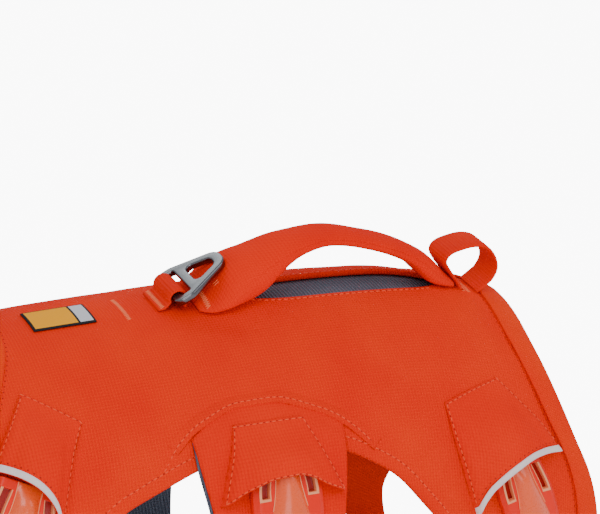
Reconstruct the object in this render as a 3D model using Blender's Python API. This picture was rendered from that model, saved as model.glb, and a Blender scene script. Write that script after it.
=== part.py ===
"""Dog harness, worn shape, with its hardware.

The head end is +X, up is +Z and the wearer's right side is -Y.  The origin is on the wearer's
back, under the lining below the top of the handle.  Sizes in this file are millimetres, and
the meshes are made in metres.

Every cloth piece is laid out on the wearer's form by two measures, as on a paper pattern: x,
the place along the back, and s, the distance round the body from the spine, positive to the
wearer's left.  A third measure, lift, is the distance outwards from the wearer.
"""
import math
from functools import lru_cache

import bpy
import numpy as np
from mathutils import Vector
from mathutils.geometry import delaunay_2d_cdt

MM = 0.001
SEAM = 0.3
RIGHT = -1
LEFT = 1
SIDES = ((RIGHT, "right"), (LEFT, "left"))

# The wearer's form
# x, height of the spine, half width, depth from spine to belly
FORM = (
    (-225, -4.0, 70, 138),
    (-170, -1.5, 76, 153),
    (-85, 0.7, 82, 171),
    (-25, 1.0, 83, 180),
    (25, -1.0, 80, 183),
    (51, -5.0, 76, 181),
    (72, -11.0, 72, 176),
    (93, -20.0, 67, 166),
    (119, -35.0, 59, 146),
    (145, -55.0, 46, 112),
)
ANGLE_STEPS = 120

# Thickness of the layers
LINING = 1.0
SADDLE = 2.0
TAB_LINING = 0.8
TAB = 1.8
COVER = 1.6
BINDING = 1.2
TRIM = 0.7
PATCH = 0.7
WEBBING = 1.5
CHEST_PAD = 4.0

SADDLE_LOW = LINING + 2 * SEAM
SADDLE_TOP = SADDLE_LOW + SADDLE
ON_SADDLE = SADDLE_TOP + SEAM
TAB_LOW = ON_SADDLE + TAB_LINING + SEAM
ON_TAB = TAB_LOW + TAB + SEAM
ON_CHEST_PAD = CHEST_PAD + SEAM

# The outline of one half of the saddle
# s, x of the rear edge
REAR_EDGE = (
    (0, -163), (20, -166), (40, -174), (60, -183), (80, -192), (98, -199), (112, -202),
)
# s, x of the neck edge
NECK_EDGE = (
    (0, 88), (16, 87.5), (32, 88), (46, 91), (59, 95), (72, 100.5), (84, 107.5), (97, 112),
    (112, 114), (130, 112), (148, 104),
)
# x, s of the lower edge
LOWER_EDGE = (
    (-202, 112), (-190, 121), (-175, 125), (-160, 123), (-147, 116), (-135, 106.5), (-124, 99.5),
    (-112, 94.5), (-103, 91.5), (-88, 87), (-70, 84), (-50, 83.5), (-35, 85), (-21, 88.5),
    (-6, 95.8), (4, 102.7), (15, 114.5), (28, 128.5), (42, 142.5), (60, 155), (78, 160.5),
    (94, 158), (104, 148),
)
SADDLE_COLUMNS = 34
SADDLE_ROWS = 12

# The slot under the handle
SLOT_REAR = -46.0
SLOT_FRONT = 55.0
SLOT_HALF_WIDTH = 10.0

NECK_BINDING_WIDTH = 12.0
REAR_BINDING_WIDTH = 8.0
EDGE_BINDING_OVERHANG = 2.0
EDGE_BINDING_CLEARANCE = 0.9
EDGE_BINDING_LIFT = 0.1
EDGE_BINDING_STATIONS = 36

# The handle
# x, gap under it, width, thickness
HANDLE = (
    (-67, 0.35, 30, 2.8),
    (-62, 0.35, 37, 4.5),
    (-56, 0.4, 40, 9.5),
    (-50, 0.5, 39, 15.0),
    (-44, 0.9, 36, 17.5),
    (-38, 3.2, 33, 17.0),
    (-32, 8.0, 30, 14.0),
    (-25, 13.6, 27, 10.4),
    (-17, 17.8, 24, 7.6),
    (-6, 20.2, 21, 6.4),
    (4, 19.7, 20, 6.2),
    (16, 17.2, 20, 6.2),
    (28, 13.8, 21, 6.4),
    (39, 9.4, 22, 7.2),
    (46, 4.2, 23, 9.3),
    (51, 0.9, 24, 9.0),
    (56, 0.45, 23, 5.8),
    (61, 0.4, 19, 3.0),
)
HANDLE_SECTIONS = 34
HANDLE_SIDES = 14
HANDLE_ROUNDNESS = 0.8
BACK_RADIUS = 76.0

# The ring and its webbing
PIVOT_X = -75.0
PIVOT_Z = 9.4
RING_ANGLE = math.radians(28.7)
RING_THICKNESS = 3.2
LEASH_WEBBING_WIDTH = 20.0
LOOP_RADIUS = 3.1
# Degrees round the pivot, from behind it to in front of it
LOOP_START = 200
LOOP_END = -20
LOOP_STATIONS = 14
LEASH_FOOT_STEP = 0.2
# From the pivot back to the end of the tail, and from that end to where it leaves the back
LEASH_TAIL = 9.0
LEASH_TAIL_SEWN = 1.2
LEASH_TAIL_BEND = 3.2
# along from the pivot, across, corner radius
RING_OUTLINE = (
    (-2.2, 14.5, 4.0), (6.0, 14.5, 6.0), (27.5, 5.5, 6.5), (27.5, -5.5, 6.5),
    (6.0, -14.5, 6.0), (-2.2, -14.5, 4.0),
)
RING_SLOT = ((2.2, 10.8, 1.2), (6.8, 10.8, 1.2), (6.8, -10.8, 1.2), (2.2, -10.8, 1.2))
RING_EYE = ((11.2, 7.8, 2.5), (22.8, 3.2, 3.6), (22.8, -3.2, 3.6), (11.2, -7.8, 2.5))
CORNER_STEPS = 4

# The webbing loop in front of the handle, from its rear foot to its front foot
# x, z
FRONT_LOOP = (
    (65.0, -4.7), (62.6, -0.6), (58.6, 4.8), (56.2, 9.4), (58.2, 13.0), (64.0, 14.9), (71.0, 15.6),
    (77.2, 13.8), (81.4, 8.8), (82.8, 3.0), (80.6, -2.0), (77.2, -4.8), (73.5, -7.4),
)
FRONT_LOOP_WIDTH = 18.0
FRONT_LOOP_STATIONS = 26

# The girth tab
# x of its sewn top edge, s
TAB_TOP = (
    (-91, 74), (-79, 67.6), (-70, 64.6), (-61, 64.0), (-50, 64.4), (-36, 68.7), (-25.5, 73.5),
    (-20, 77),
)
# s, x of the rear edge, x of the front edge
TAB_EDGES = (
    (62, -91, -20), (75, -90.4, -20.5), (90, -88.6, -22), (109, -85.1, -24.5), (140, -81, -29),
    (172, -77, -38), (205, -73, -45),
)
TAB_END = 205.0

# The sewn covers over the buckles
# down the cover from 0 to 1, x and s of the rear edge, x and s of the front edge
REAR_COVER = (
    (0.0, -158, 42, -135.5, 59),
    (0.5, -168, 57, -144.5, 76),
    (1.0, -179, 71.5, -154, 104),
)
GIRTH_COVER = (
    (0.0, -72.2, 71.9, -40.2, 72.2),
    (0.33, -75.0, 82, -36.0, 82),
    (0.66, -79.0, 92, -31.0, 93),
    (1.0, -83.0, 103, -25.5, 104),
)
FRONT_COVER = (
    (0.0, 31.0, 71.5, 61.5, 57.5),
    (0.33, 32.8, 87, 71, 65.5),
    (0.66, 36.6, 103.5, 81.5, 73),
    (1.0, 41.5, 120, 92, 81.3),
)
# across the mouth from 0 to 1, how far its edge is cut back up
REAR_MOUTH = ((0.0, 0), (0.25, 4.5), (0.5, 7), (0.75, 6), (1.0, 0))
GIRTH_MOUTH = (
    (0.0, 0), (0.1, 3.2), (0.2, 5.6), (0.35, 8.2), (0.5, 8.8), (0.6, 8.8), (0.7, 7.2),
    (0.8, 4.3), (0.9, 2.0), (1.0, 0),
)
FRONT_MOUTH = (
    (0.0, 0), (0.08, 4.0), (0.2, 6.8), (0.35, 7.6), (0.5, 7.2), (0.65, 6.2), (0.8, 4.0),
    (0.9, 2.0), (1.0, 0),
)
COVER_RISE = 9.4
# How squarely a cover rises from its sides, and by what share of its length it is up
COVER_SHOULDER = 0.45
COVER_UP_BY = 0.7
COVER_COLUMNS = 8
COVER_ROWS = 6
TRIM_WIDTH = 3.2
TRIM_COLUMNS = 14

# The straps, from the mouth of each cover to the chest panel
# x, s; the second row is at the mouth
REAR_ROUTE = ((-154, 61), (-166.7, 86), (-177, 110), (-187.5, 137), (-195, 168), (-198, 200))
GIRTH_ROUTE = ((-53.5, 72), (-53.5, 94), (-53.5, 126), (-54, 165), (-56, 205), (-57, 235))
FRONT_ROUTE = (
    (55, 77), (65.5, 98.5), (74, 119), (75, 138), (67, 156), (60, 174), (59, 206), (58, 232),
)
STRAP_WIDTH = 20.0
STRAP_END_TO_BELLY_LINE = 15.0
STRAP_STATIONS = 16
STRAP_SETTLE_LENGTH = 25.0
# name, route, the lift it starts at, how far along it starts to settle on the body
STRAPS = (
    ("rear", REAR_ROUTE, ON_SADDLE + SEAM, 45.0),
    ("girth", GIRTH_ROUTE, ON_TAB + SEAM, 111.0),
    ("front", FRONT_ROUTE, ON_SADDLE + SEAM, 62.0),
)

# The buckles, along the strap from the mouth and across it
HOUSING_LINES_ACROSS = (-16.0, -14.2, -9.5, -6.0, 0.0, 6.0, 9.5, 14.2, 16.0)
HOUSING_LINES_ALONG = (-6.5, -1.0, 7.5, 13.0, 21.0)
HOUSING_SIDE_HEIGHT = 5.0
HOUSING_RIDGE_HEIGHT = 3.0
HOUSING_RIDGE_HALF_WIDTH = 9.5
RIDGE_GROWS_FROM = -8.0
RIDGE_GROWTH_LENGTH = 12.0
HOUSING_NARROW_END = 0.88
HOUSING_FLARE_LENGTH = 14.0
HOUSING_EDGE = 3.0
HOUSING_EDGE_DROP = 0.25
PLUG_LINES_ACROSS = (-14.5, -10.5, 0.0, 10.5, 14.5)
PLUG_LINES_ALONG = (21.4, 26.0, 29.0, 32.5, 36.0)
PLUG_LIFT = WEBBING + SEAM
PLUG_THICKNESS = 3.4

# The chest and belly panel
# x, half width
CHEST_PANEL = (
    (-212, 13), (-198, 26), (-170, 24), (-120, 20), (-85, 26), (-57, 31), (-20, 27), (20, 27),
    (58, 32), (80, 27), (96, 13),
)
CHEST_PANEL_COLUMNS = 26
CHEST_EDGE_SHARE = 0.55

# The small patch on the spine
PATCH_REAR = -141.0
PATCH_FRONT = -112.5
PATCH_HALF_WIDTH = 9.0


def smooth(rows, value, column=1):
    """Reads a table on a smooth curve through its rows."""
    keys = [row[0] for row in rows]
    values = [row[column] for row in rows]
    value = min(max(value, keys[0]), keys[-1])
    last = len(keys) - 1
    index = min(max(int(np.searchsorted(keys, value)) - 1, 0), last - 1)
    step = keys[index + 1] - keys[index]
    share = (value - keys[index]) / step

    def slope(at):
        before, after = max(at - 1, 0), min(at + 1, last)
        return (values[after] - values[before]) / (keys[after] - keys[before])

    start_weight = 2 * share ** 3 - 3 * share ** 2 + 1
    return (
        start_weight * values[index]
        + (1 - start_weight) * values[index + 1]
        + (share ** 3 - 2 * share ** 2 + share) * step * slope(index)
        + (share ** 3 - share ** 2) * step * slope(index + 1)
    )


def blend(start, end, share):
    return start + (end - start) * share


def ease(share):
    share = min(max(share, 0.0), 1.0)
    return share * share * (3 - 2 * share)


@lru_cache(maxsize=None)
def section(x):
    """The spine's height, the half width and the half depth of the form at x."""
    return smooth(FORM, x, 1), smooth(FORM, x, 2), smooth(FORM, x, 3) / 2


@lru_cache(maxsize=None)
def girth_lengths(x):
    """Lengths round the form from the spine, at equal steps of angle over one full turn."""
    _, half_width, half_depth = section(x)
    angles = np.linspace(0, 2 * math.pi, ANGLE_STEPS + 1)
    pieces = np.hypot(
        np.diff(half_width * np.sin(angles)),
        np.diff(half_depth * np.cos(angles)),
    )
    return angles, np.concatenate(([0.0], np.cumsum(pieces)))


def half_girth(x):
    return girth_lengths(x)[1][-1] / 2


def form_point(x, s, lift):
    x = round(x, 4)
    top, half_width, half_depth = section(x)
    angles, lengths = girth_lengths(x)
    angle = math.copysign(float(np.interp(abs(s), lengths, angles)), s)
    normal = Vector((0, math.sin(angle) / half_width, math.cos(angle) / half_depth))
    normal.normalize()
    point = Vector((
        x,
        half_width * math.sin(angle),
        top - half_depth + half_depth * math.cos(angle),
    ))
    return point + normal * lift


def spine_height(x):
    return section(round(x, 4))[0]


def make_material(name, colour, roughness, metallic=0.0):
    material = bpy.data.materials.new(name)
    material.use_nodes = True
    shader = material.node_tree.nodes["Principled BSDF"]
    shader.inputs["Base Color"].default_value = (*colour, 1.0)
    shader.inputs["Roughness"].default_value = roughness
    shader.inputs["Metallic"].default_value = metallic
    return material


def add_object(name, points, faces, material):
    """Makes one object from points in millimetres, with its faces turned outwards."""
    volume = 0.0
    for face in faces:
        first = points[face[0]]
        for second, third in zip(face[1:], face[2:]):
            volume += first.dot(points[second].cross(points[third]))
    if volume < 0:
        faces = [tuple(reversed(face)) for face in faces]
    mesh = bpy.data.meshes.new(name)
    mesh.from_pydata([point * MM for point in points], [], faces)
    mesh.materials.append(material)
    mesh.shade_smooth()
    mesh.set_sharp_from_angle(angle=math.radians(35))
    part = bpy.data.objects.new(name, mesh)
    bpy.context.collection.objects.link(part)
    return part


def add_wall(name, outer, inner, faces, material):
    """Closes two matching layers of points into one wall, round every free edge."""
    count = len(outer)
    wall = list(faces)
    wall += [tuple(count + index for index in reversed(face)) for face in faces]
    directed = {
        (start, end) for face in faces for start, end in zip(face, face[1:] + face[:1])
    }
    for start, end in sorted(directed):
        if (end, start) not in directed:
            wall.append((end, start, count + start, count + end))
    return add_object(name, outer + inner, wall, material)


def add_panel(name, across, along, place, low, high, material, cut=()):
    """A cloth wall over a grid: place gives x and s, low and high give its two lifts."""
    rows = len(along)
    spots = [(u, v) for u in across for v in along]
    inner = [form_point(*place(u, v), low(u, v)) for u, v in spots]
    outer = [form_point(*place(u, v), high(u, v)) for u, v in spots]
    faces = []
    for i in range(len(across) - 1):
        for j in range(rows - 1):
            if (i, j) not in cut:
                corner = i * rows + j
                faces.append((corner, corner + rows, corner + rows + 1, corner + 1))
    return add_wall(name, outer, inner, faces, material)


def add_sweep(name, sections, material):
    """A closed body through rings of points, with a flat face at each end."""
    count = len(sections[0])
    points = [point for ring in sections for point in ring]
    faces = [tuple(range(count)), tuple(reversed(range(len(points) - count, len(points))))]
    for ring in range(len(sections) - 1):
        for side in range(count):
            start = ring * count
            following = (side + 1) % count
            faces.append((
                start + side, start + count + side, start + count + following, start + following,
            ))
    return add_object(name, points, faces, material)


def steps(count):
    return [index / count for index in range(count + 1)]


def constant(value):
    return lambda u, v: value


def slot_half_width(x):
    middle = (SLOT_REAR + SLOT_FRONT) / 2
    reach = abs(x - middle) / ((SLOT_FRONT - SLOT_REAR) / 2)
    return SLOT_HALF_WIDTH * math.sqrt(max(1 - reach ** 4, 0.0))


def saddle_place(u, v):
    """u runs from the rear edge to the neck edge, v from the spine to the lower edge."""
    rear_corner, neck_corner = REAR_EDGE[-1], NECK_EDGE[-1]
    rear_x = smooth(REAR_EDGE, v * rear_corner[0])
    neck_x = smooth(NECK_EDGE, v * neck_corner[0])
    x = blend(rear_x, neck_x, u)
    lower_s = smooth(LOWER_EDGE, blend(rear_corner[1], neck_corner[1], u))
    return x, v * lower_s


def add_saddle_layer(name, columns, rows, low, high, material, has_slot):
    """Both halves of the saddle, joined along the spine wherever the slot is not."""
    keys = {}
    outer, inner = [], []

    def corner(i, j, side):
        u = i / columns
        x, s = saddle_place(u, j / rows)
        opening = slot_half_width(x) if has_slot else 0.0
        if j == 0 and opening < 0.5:
            side = 0
        key = (i, j, side)
        if key not in keys:
            keys[key] = len(outer)
            share = j / rows
            s_here = s + opening * (1 - share) ** 2
            outer.append(form_point(x, side * s_here, high))
            inner.append(form_point(x, side * s_here, low))
        return keys[key]

    faces = []
    for i in range(columns):
        for j in range(rows):
            for side in (RIGHT, LEFT):
                face = (
                    corner(i, j, side), corner(i + 1, j, side),
                    corner(i + 1, j + 1, side), corner(i, j + 1, side),
                )
                faces.append(face if side == LEFT else tuple(reversed(face)))
    return add_wall(name, outer, inner, faces, material)


def add_edge_binding(name, edge, width, front, material):
    """A folded band on a crosswise edge: a flange on the saddle and a lip over its rim."""
    reach = edge[-1][0] - 1.0
    overhang = front * EDGE_BINDING_OVERHANG
    clear = front * EDGE_BINDING_CLEARANCE
    middle = -front * width / 2
    low = ON_SADDLE + EDGE_BINDING_LIFT
    high = low + BINDING
    profile = (
        (-front * width, low), (-front * width, high), (middle, high), (overhang, high),
        (overhang, 0.0), (clear, 0.0), (clear, low), (middle, low),
    )
    sections = []
    for share in steps(EDGE_BINDING_STATIONS):
        s = blend(-reach, reach, share)
        x = smooth(edge, abs(s))
        sections.append([form_point(x + shift, s, lift) for shift, lift in profile])
    return add_sweep(name, sections, material)


def centre_line(rows, count):
    """Points of the handle's middle, each with its width, thickness and height direction."""
    line = []
    for share in steps(count):
        x = blend(rows[0][0], rows[-1][0], share)
        thickness = smooth(rows, x, 3)
        height = spine_height(x) + SADDLE_TOP + smooth(rows, x, 1) + thickness / 2
        line.append((Vector((x, 0, height)), smooth(rows, x, 2), thickness))
    return line


def add_handle(material):
    line = centre_line(HANDLE, HANDLE_SECTIONS)
    sections = []
    for index, (middle, width, thickness) in enumerate(line):
        before = line[max(index - 1, 0)][0]
        after = line[min(index + 1, len(line) - 1)][0]
        along = (after - before).normalized()
        upright = Vector((-along.z, 0, along.x))
        ring = []
        for side in range(HANDLE_SIDES):
            angle = 2 * math.pi * side / HANDLE_SIDES
            cosine, sine = math.cos(angle), math.sin(angle)
            across = width / 2 * math.copysign(abs(cosine) ** HANDLE_ROUNDNESS, cosine)
            height = thickness / 2 * math.copysign(abs(sine) ** HANDLE_ROUNDNESS, sine)
            droop = across ** 2 / (2 * BACK_RADIUS)
            ring.append(middle + Vector((0, across, 0)) + upright * (height - droop))
        sections.append(ring)
    return add_sweep("handle", sections, material)


def add_ribbon(name, stations, material):
    """Webbing through stations: middle, direction of its width, direction of its thickness."""
    sections = []
    for middle, across, upright, width in stations:
        half = across * (width / 2)
        rise = upright * (WEBBING / 2)
        sections.append([
            middle - half - rise, middle + half - rise, middle + half + rise, middle - half + rise,
        ])
    return add_sweep(name, sections, material)


def add_leash_webbing(material):
    """Out of the saddle behind the bar, over the bar, and back into the saddle before it."""
    radius = LOOP_RADIUS + WEBBING / 2
    tail_x = PIVOT_X - LEASH_TAIL
    on_back = spine_height(tail_x) + ON_SADDLE + WEBBING / 2
    path = [
        (tail_x, on_back),
        (tail_x + LEASH_TAIL_SEWN, on_back),
        (tail_x + LEASH_TAIL_BEND, on_back + WEBBING / 3),
    ]
    for share in steps(LOOP_STATIONS):
        angle = math.radians(blend(LOOP_START, LOOP_END, share))
        path.append((PIVOT_X + radius * math.cos(angle), PIVOT_Z + radius * math.sin(angle)))
    foot_x = path[-1][0] - LEASH_FOOT_STEP
    path.append((foot_x, spine_height(foot_x) + ON_SADDLE + SEAM))
    stations = []
    for index, (x, z) in enumerate(path):
        before = path[max(index - 1, 0)]
        after = path[min(index + 1, len(path) - 1)]
        along = Vector((after[0] - before[0], 0, after[1] - before[1])).normalized()
        upright = Vector((-along.z, 0, along.x))
        stations.append((Vector((x, 0, z)), Vector((0, 1, 0)), upright, LEASH_WEBBING_WIDTH))
    return add_ribbon("leash_webbing", stations, material)


def rounded(corners):
    """A closed outline whose corners are arcs."""
    outline = []
    count = len(corners)
    for index, (p, q, radius) in enumerate(corners):
        corner = Vector((p, q))
        to_last = (Vector(corners[index - 1][:2]) - corner).normalized()
        to_next = (Vector(corners[(index + 1) % count][:2]) - corner).normalized()
        half_angle = to_last.angle(to_next) / 2
        centre = corner + (to_last + to_next).normalized() * (radius / math.sin(half_angle))
        start = corner + to_last * (radius / math.tan(half_angle)) - centre
        end = corner + to_next * (radius / math.tan(half_angle)) - centre
        turn = start.angle_signed(end)
        for share in steps(CORNER_STEPS):
            angle = -turn * share
            outline.append(centre + Vector((
                start.x * math.cos(angle) - start.y * math.sin(angle),
                start.x * math.sin(angle) + start.y * math.cos(angle),
            )))
    return outline


def is_inside(point, outline):
    inside = False
    for start, end in zip(outline, outline[1:] + outline[:1]):
        if (start.y > point.y) != (end.y > point.y):
            share = (point.y - start.y) / (end.y - start.y)
            if point.x < start.x + share * (end.x - start.x):
                inside = not inside
    return inside


def add_ring(material):
    """A flat plate with a slot for the webbing and an eye for the leash."""
    outlines = [rounded(RING_OUTLINE), rounded(RING_SLOT), rounded(RING_EYE)]
    points, edges = [], []
    for outline in outlines:
        start = len(points)
        points += outline
        edges += [(start + i, start + (i + 1) % len(outline)) for i in range(len(outline))]
    filled = delaunay_2d_cdt(points, edges, [], 1, 1e-5)
    plate = filled[0]
    faces = []
    for face in filled[2]:
        middle = sum((plate[index] for index in face), Vector((0, 0))) / len(face)
        if not any(is_inside(middle, outline) for outline in outlines[1:]):
            faces.append(tuple(face))
    along = Vector((math.cos(RING_ANGLE), 0, math.sin(RING_ANGLE)))
    upright = Vector((-along.z, 0, along.x))
    half = RING_THICKNESS / 2
    flat = [along * point.x + Vector((0, point.y, 0)) for point in plate]
    ring = add_wall(
        "v_ring",
        [point + upright * half for point in flat],
        [point - upright * half for point in flat],
        faces, material,
    )
    ring.location = (PIVOT_X * MM, 0, PIVOT_Z * MM)
    return ring


def add_front_loop(material):
    """A loop of webbing that stands along the spine, with one foot behind the other."""
    keyed = [(index, x, z) for index, (x, z) in enumerate(FRONT_LOOP)]
    keys = [share * (len(FRONT_LOOP) - 1) for share in steps(FRONT_LOOP_STATIONS)]
    path = [Vector((smooth(keyed, key, 1), 0, smooth(keyed, key, 2))) for key in keys]
    half = Vector((0, FRONT_LOOP_WIDTH / 2, 0))
    sections = []
    for index, middle in enumerate(path):
        before = path[max(index - 1, 0)]
        after = path[min(index + 1, len(path) - 1)]
        along = (after - before).normalized()
        rise = Vector((-along.z, 0, along.x)) * (WEBBING / 2)
        ring = [middle - half - rise, middle + half - rise, middle + half + rise, middle - half + rise]
        if index in (0, len(path) - 1):
            ring = [
                Vector((point.x, point.y, spine_height(point.x) + ON_SADDLE + SEAM)) for point in ring
            ]
        sections.append(ring)
    return add_sweep("front_loop", sections, material)


def add_girth_tab(side, side_name, orange, gray):
    across, along = steps(8), steps(14)

    def place(u, v):
        top = smooth(TAB_TOP, blend(TAB_TOP[0][0], TAB_TOP[-1][0], u))
        s = blend(top, TAB_END, v)
        x = blend(smooth(TAB_EDGES, s, 1), smooth(TAB_EDGES, s, 2), u)
        return x, side * s

    add_panel(
        f"girth_tab_lining_{side_name}", across, along, place,
        constant(ON_SADDLE), constant(ON_SADDLE + TAB_LINING), gray,
    )
    add_panel(
        f"girth_tab_{side_name}", across, along, place,
        constant(TAB_LOW), constant(TAB_LOW + TAB), orange,
    )


def add_cover(name, side, rows, mouth, base, orange, trim, trim_name):
    """A cover sewn at its top and sides, domed over the buckle, open at its mouth."""
    chord = Vector((rows[-1][3] - rows[-1][1], rows[-1][4] - rows[-1][2]))
    up = Vector((chord.y, -chord.x)).normalized()

    def place(u, v):
        x = blend(smooth(rows, v, 1), smooth(rows, v, 3), u)
        s = blend(smooth(rows, v, 2), smooth(rows, v, 4), u)
        cut_back = smooth(mouth, u) * v ** 2
        return x + up.x * cut_back, side * (s + up.y * cut_back)

    def low(u, v):
        dome = math.sin(math.pi * min(max(u, 0.0), 1.0)) ** COVER_SHOULDER
        return base + COVER_RISE * dome * ease(v / COVER_UP_BY)

    add_panel(
        name, steps(COVER_COLUMNS), steps(COVER_ROWS), place,
        low, lambda u, v: low(u, v) + COVER, orange,
    )
    if trim is None:
        return
    length = math.hypot(
        (rows[-1][1] + rows[-1][3] - rows[0][1] - rows[0][3]) / 2,
        (rows[-1][2] + rows[-1][4] - rows[0][2] - rows[0][4]) / 2,
    )
    start = 1 - TRIM_WIDTH / length

    def trim_low(u, v):
        return low(u, v) + COVER + SEAM

    add_panel(
        trim_name, steps(TRIM_COLUMNS), (start, 1.0), place,
        trim_low, lambda u, v: trim_low(u, v) + TRIM, trim,
    )


class Route:
    """A strap's middle line on the form, measured along from the mouth of its cover."""

    def __init__(self, rows, side):
        last_x = rows[-1][0] + 0.4 * (rows[-1][0] - rows[-2][0])
        end = (last_x, half_girth(round(last_x, 4)) - STRAP_END_TO_BELLY_LINE)
        corners = list(rows) + [end]
        keyed = [(index, x, s) for index, (x, s) in enumerate(corners)]
        samples = [index / 8 for index in range(8 * (len(corners) - 1) + 1)]
        line = [(smooth(keyed, key, 1), smooth(keyed, key, 2)) for key in samples]
        lengths = [0.0]
        for (x0, s0), (x1, s1) in zip(line, line[1:]):
            lengths.append(lengths[-1] + math.hypot(x1 - x0, s1 - s0))
        mouth = lengths[8]
        self.rows = [
            (length - mouth, x, s) for length, (x, s) in zip(lengths, line)
        ]
        self.side = side
        self.length = self.rows[-1][0]

    def place(self, along, across):
        x = smooth(self.rows, along, 1)
        s = smooth(self.rows, along, 2)
        step = 1.0
        before, after = along - step, along + step
        dx = smooth(self.rows, after, 1) - smooth(self.rows, before, 1)
        ds = smooth(self.rows, after, 2) - smooth(self.rows, before, 2)
        length = math.hypot(dx, ds)
        return x + across * ds / length, self.side * (s - across * dx / length)


def add_buckle(prefix, side_name, route, base, plastic):
    """A side-release buckle on its strap: a ridged housing with two windows, and a plug."""

    def width_at(along):
        return blend(HOUSING_NARROW_END, 1.0, ease((along - HOUSING_LINES_ALONG[0]) / HOUSING_FLARE_LENGTH))

    def housing_place(across, along):
        return route.place(along, across * width_at(along))

    def housing_high(across, along):
        crown = math.cos(math.pi / 2 * min(abs(across) / HOUSING_RIDGE_HALF_WIDTH, 1.0))
        growth = ease((along - RIDGE_GROWS_FROM) / RIDGE_GROWTH_LENGTH)
        from_edge = HOUSING_LINES_ACROSS[-1] - abs(across)
        end = 1 - HOUSING_EDGE_DROP * ease(1 - from_edge / HOUSING_EDGE)
        return base + HOUSING_SIDE_HEIGHT * end + HOUSING_RIDGE_HEIGHT * crown * growth

    add_panel(
        f"{prefix}_buckle_housing_{side_name}", HOUSING_LINES_ACROSS, HOUSING_LINES_ALONG,
        housing_place, constant(base), housing_high, plastic, cut={(1, 1), (6, 1)},
    )
    add_panel(
        f"{prefix}_buckle_plug_{side_name}", PLUG_LINES_ACROSS, PLUG_LINES_ALONG,
        housing_place, constant(base + PLUG_LIFT), constant(base + PLUG_LIFT + PLUG_THICKNESS),
        plastic, cut={(1, 1), (2, 1)},
    )


def add_strap(prefix, side_name, route, base, settled_after, material):
    """From under the plug, over the edge of the cloth, down to the chest panel."""
    start = HOUSING_LINES_ALONG[-1] + 1.5

    def low(across, along):
        return blend(base, ON_CHEST_PAD, ease((along - settled_after) / STRAP_SETTLE_LENGTH))

    stations = [blend(start, route.length, share) for share in steps(STRAP_STATIONS)]
    add_panel(
        f"{prefix}_strap_{side_name}", (-STRAP_WIDTH / 2, 0.0, STRAP_WIDTH / 2), stations,
        lambda across, along: route.place(along, across),
        low, lambda across, along: low(across, along) + WEBBING, material,
    )


def add_chest_panel(material):
    rear, front = CHEST_PANEL[0][0], CHEST_PANEL[-1][0]

    def place(u, v):
        x = blend(rear, front, u)
        return x, half_girth(round(x, 4)) + (2 * v - 1) * smooth(CHEST_PANEL, x)

    def high(u, v):
        return CHEST_PAD * blend(CHEST_EDGE_SHARE, 1.0, math.sin(math.pi * v) ** 0.5)

    add_panel(
        "chest_panel", steps(CHEST_PANEL_COLUMNS), steps(6), place,
        constant(0.0), high, material,
    )


def add_patch(material):
    add_panel(
        "name_patch",
        (PATCH_REAR, blend(PATCH_REAR, PATCH_FRONT, 0.5), PATCH_FRONT),
        (-PATCH_HALF_WIDTH, 0.0, PATCH_HALF_WIDTH),
        lambda x, s: (x, s), constant(ON_SADDLE), constant(ON_SADDLE + PATCH), material,
    )


def build():
    for old in list(bpy.data.objects):
        bpy.data.objects.remove(old, do_unlink=True)

    orange = make_material("orange_cloth", (0.98, 0.088, 0.004), 0.75)
    cover_orange = make_material("orange_cover_cloth", (0.95, 0.069, 0.003), 0.7)
    webbing = make_material("orange_webbing", (0.92, 0.056, 0.003), 0.65)
    gray = make_material("gray_lining", (0.12, 0.115, 0.135), 0.85)
    reflective = make_material("reflective_trim", (0.70, 0.67, 0.70), 0.4)
    plastic = make_material("orange_plastic", (0.98, 0.08, 0.003), 0.25)
    aluminium = make_material("aluminium", (0.62, 0.63, 0.65), 0.3, 1.0)
    yellow = make_material("yellow_patch", (0.85, 0.55, 0.08), 0.6)

    add_saddle_layer("saddle_lining", 22, 8, 0.0, LINING, gray, has_slot=False)
    add_saddle_layer(
        "saddle", SADDLE_COLUMNS, SADDLE_ROWS, SADDLE_LOW, SADDLE_TOP, orange, has_slot=True,
    )
    add_edge_binding("neck_binding", NECK_EDGE, NECK_BINDING_WIDTH, 1, cover_orange)
    add_edge_binding("rear_binding", REAR_EDGE, REAR_BINDING_WIDTH, -1, cover_orange)
    add_handle(orange)
    add_leash_webbing(webbing)
    add_ring(aluminium)
    add_front_loop(webbing)
    add_patch(yellow)
    add_chest_panel(gray)

    for side, side_name in SIDES:
        add_girth_tab(side, side_name, cover_orange, gray)
        add_cover(
            f"rear_cover_{side_name}", side, REAR_COVER, REAR_MOUTH, ON_SADDLE,
            cover_orange, reflective, f"rear_trim_{side_name}",
        )
        add_cover(
            f"girth_cover_{side_name}", side, GIRTH_COVER, GIRTH_MOUTH, ON_TAB,
            cover_orange, None, None,
        )
        add_cover(
            f"front_cover_{side_name}", side, FRONT_COVER, FRONT_MOUTH, ON_SADDLE,
            cover_orange, reflective, f"front_trim_{side_name}",
        )
        for prefix, rows, base, settled_after in STRAPS:
            route = Route(rows, side)
            add_buckle(prefix, side_name, route, base, plastic)
            add_strap(prefix, side_name, route, base, settled_after, webbing)


build()
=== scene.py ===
# %% [markdown]
# A dog harness, filled out as when it is worn. The solids of the harness are loaded first, as a
# fixed frame. Each soft solid is then covered by finer cloth of the same form, and the hardware
# is modelled in detail where the solids have it.

# %% The frame
import math
from functools import lru_cache

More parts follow.
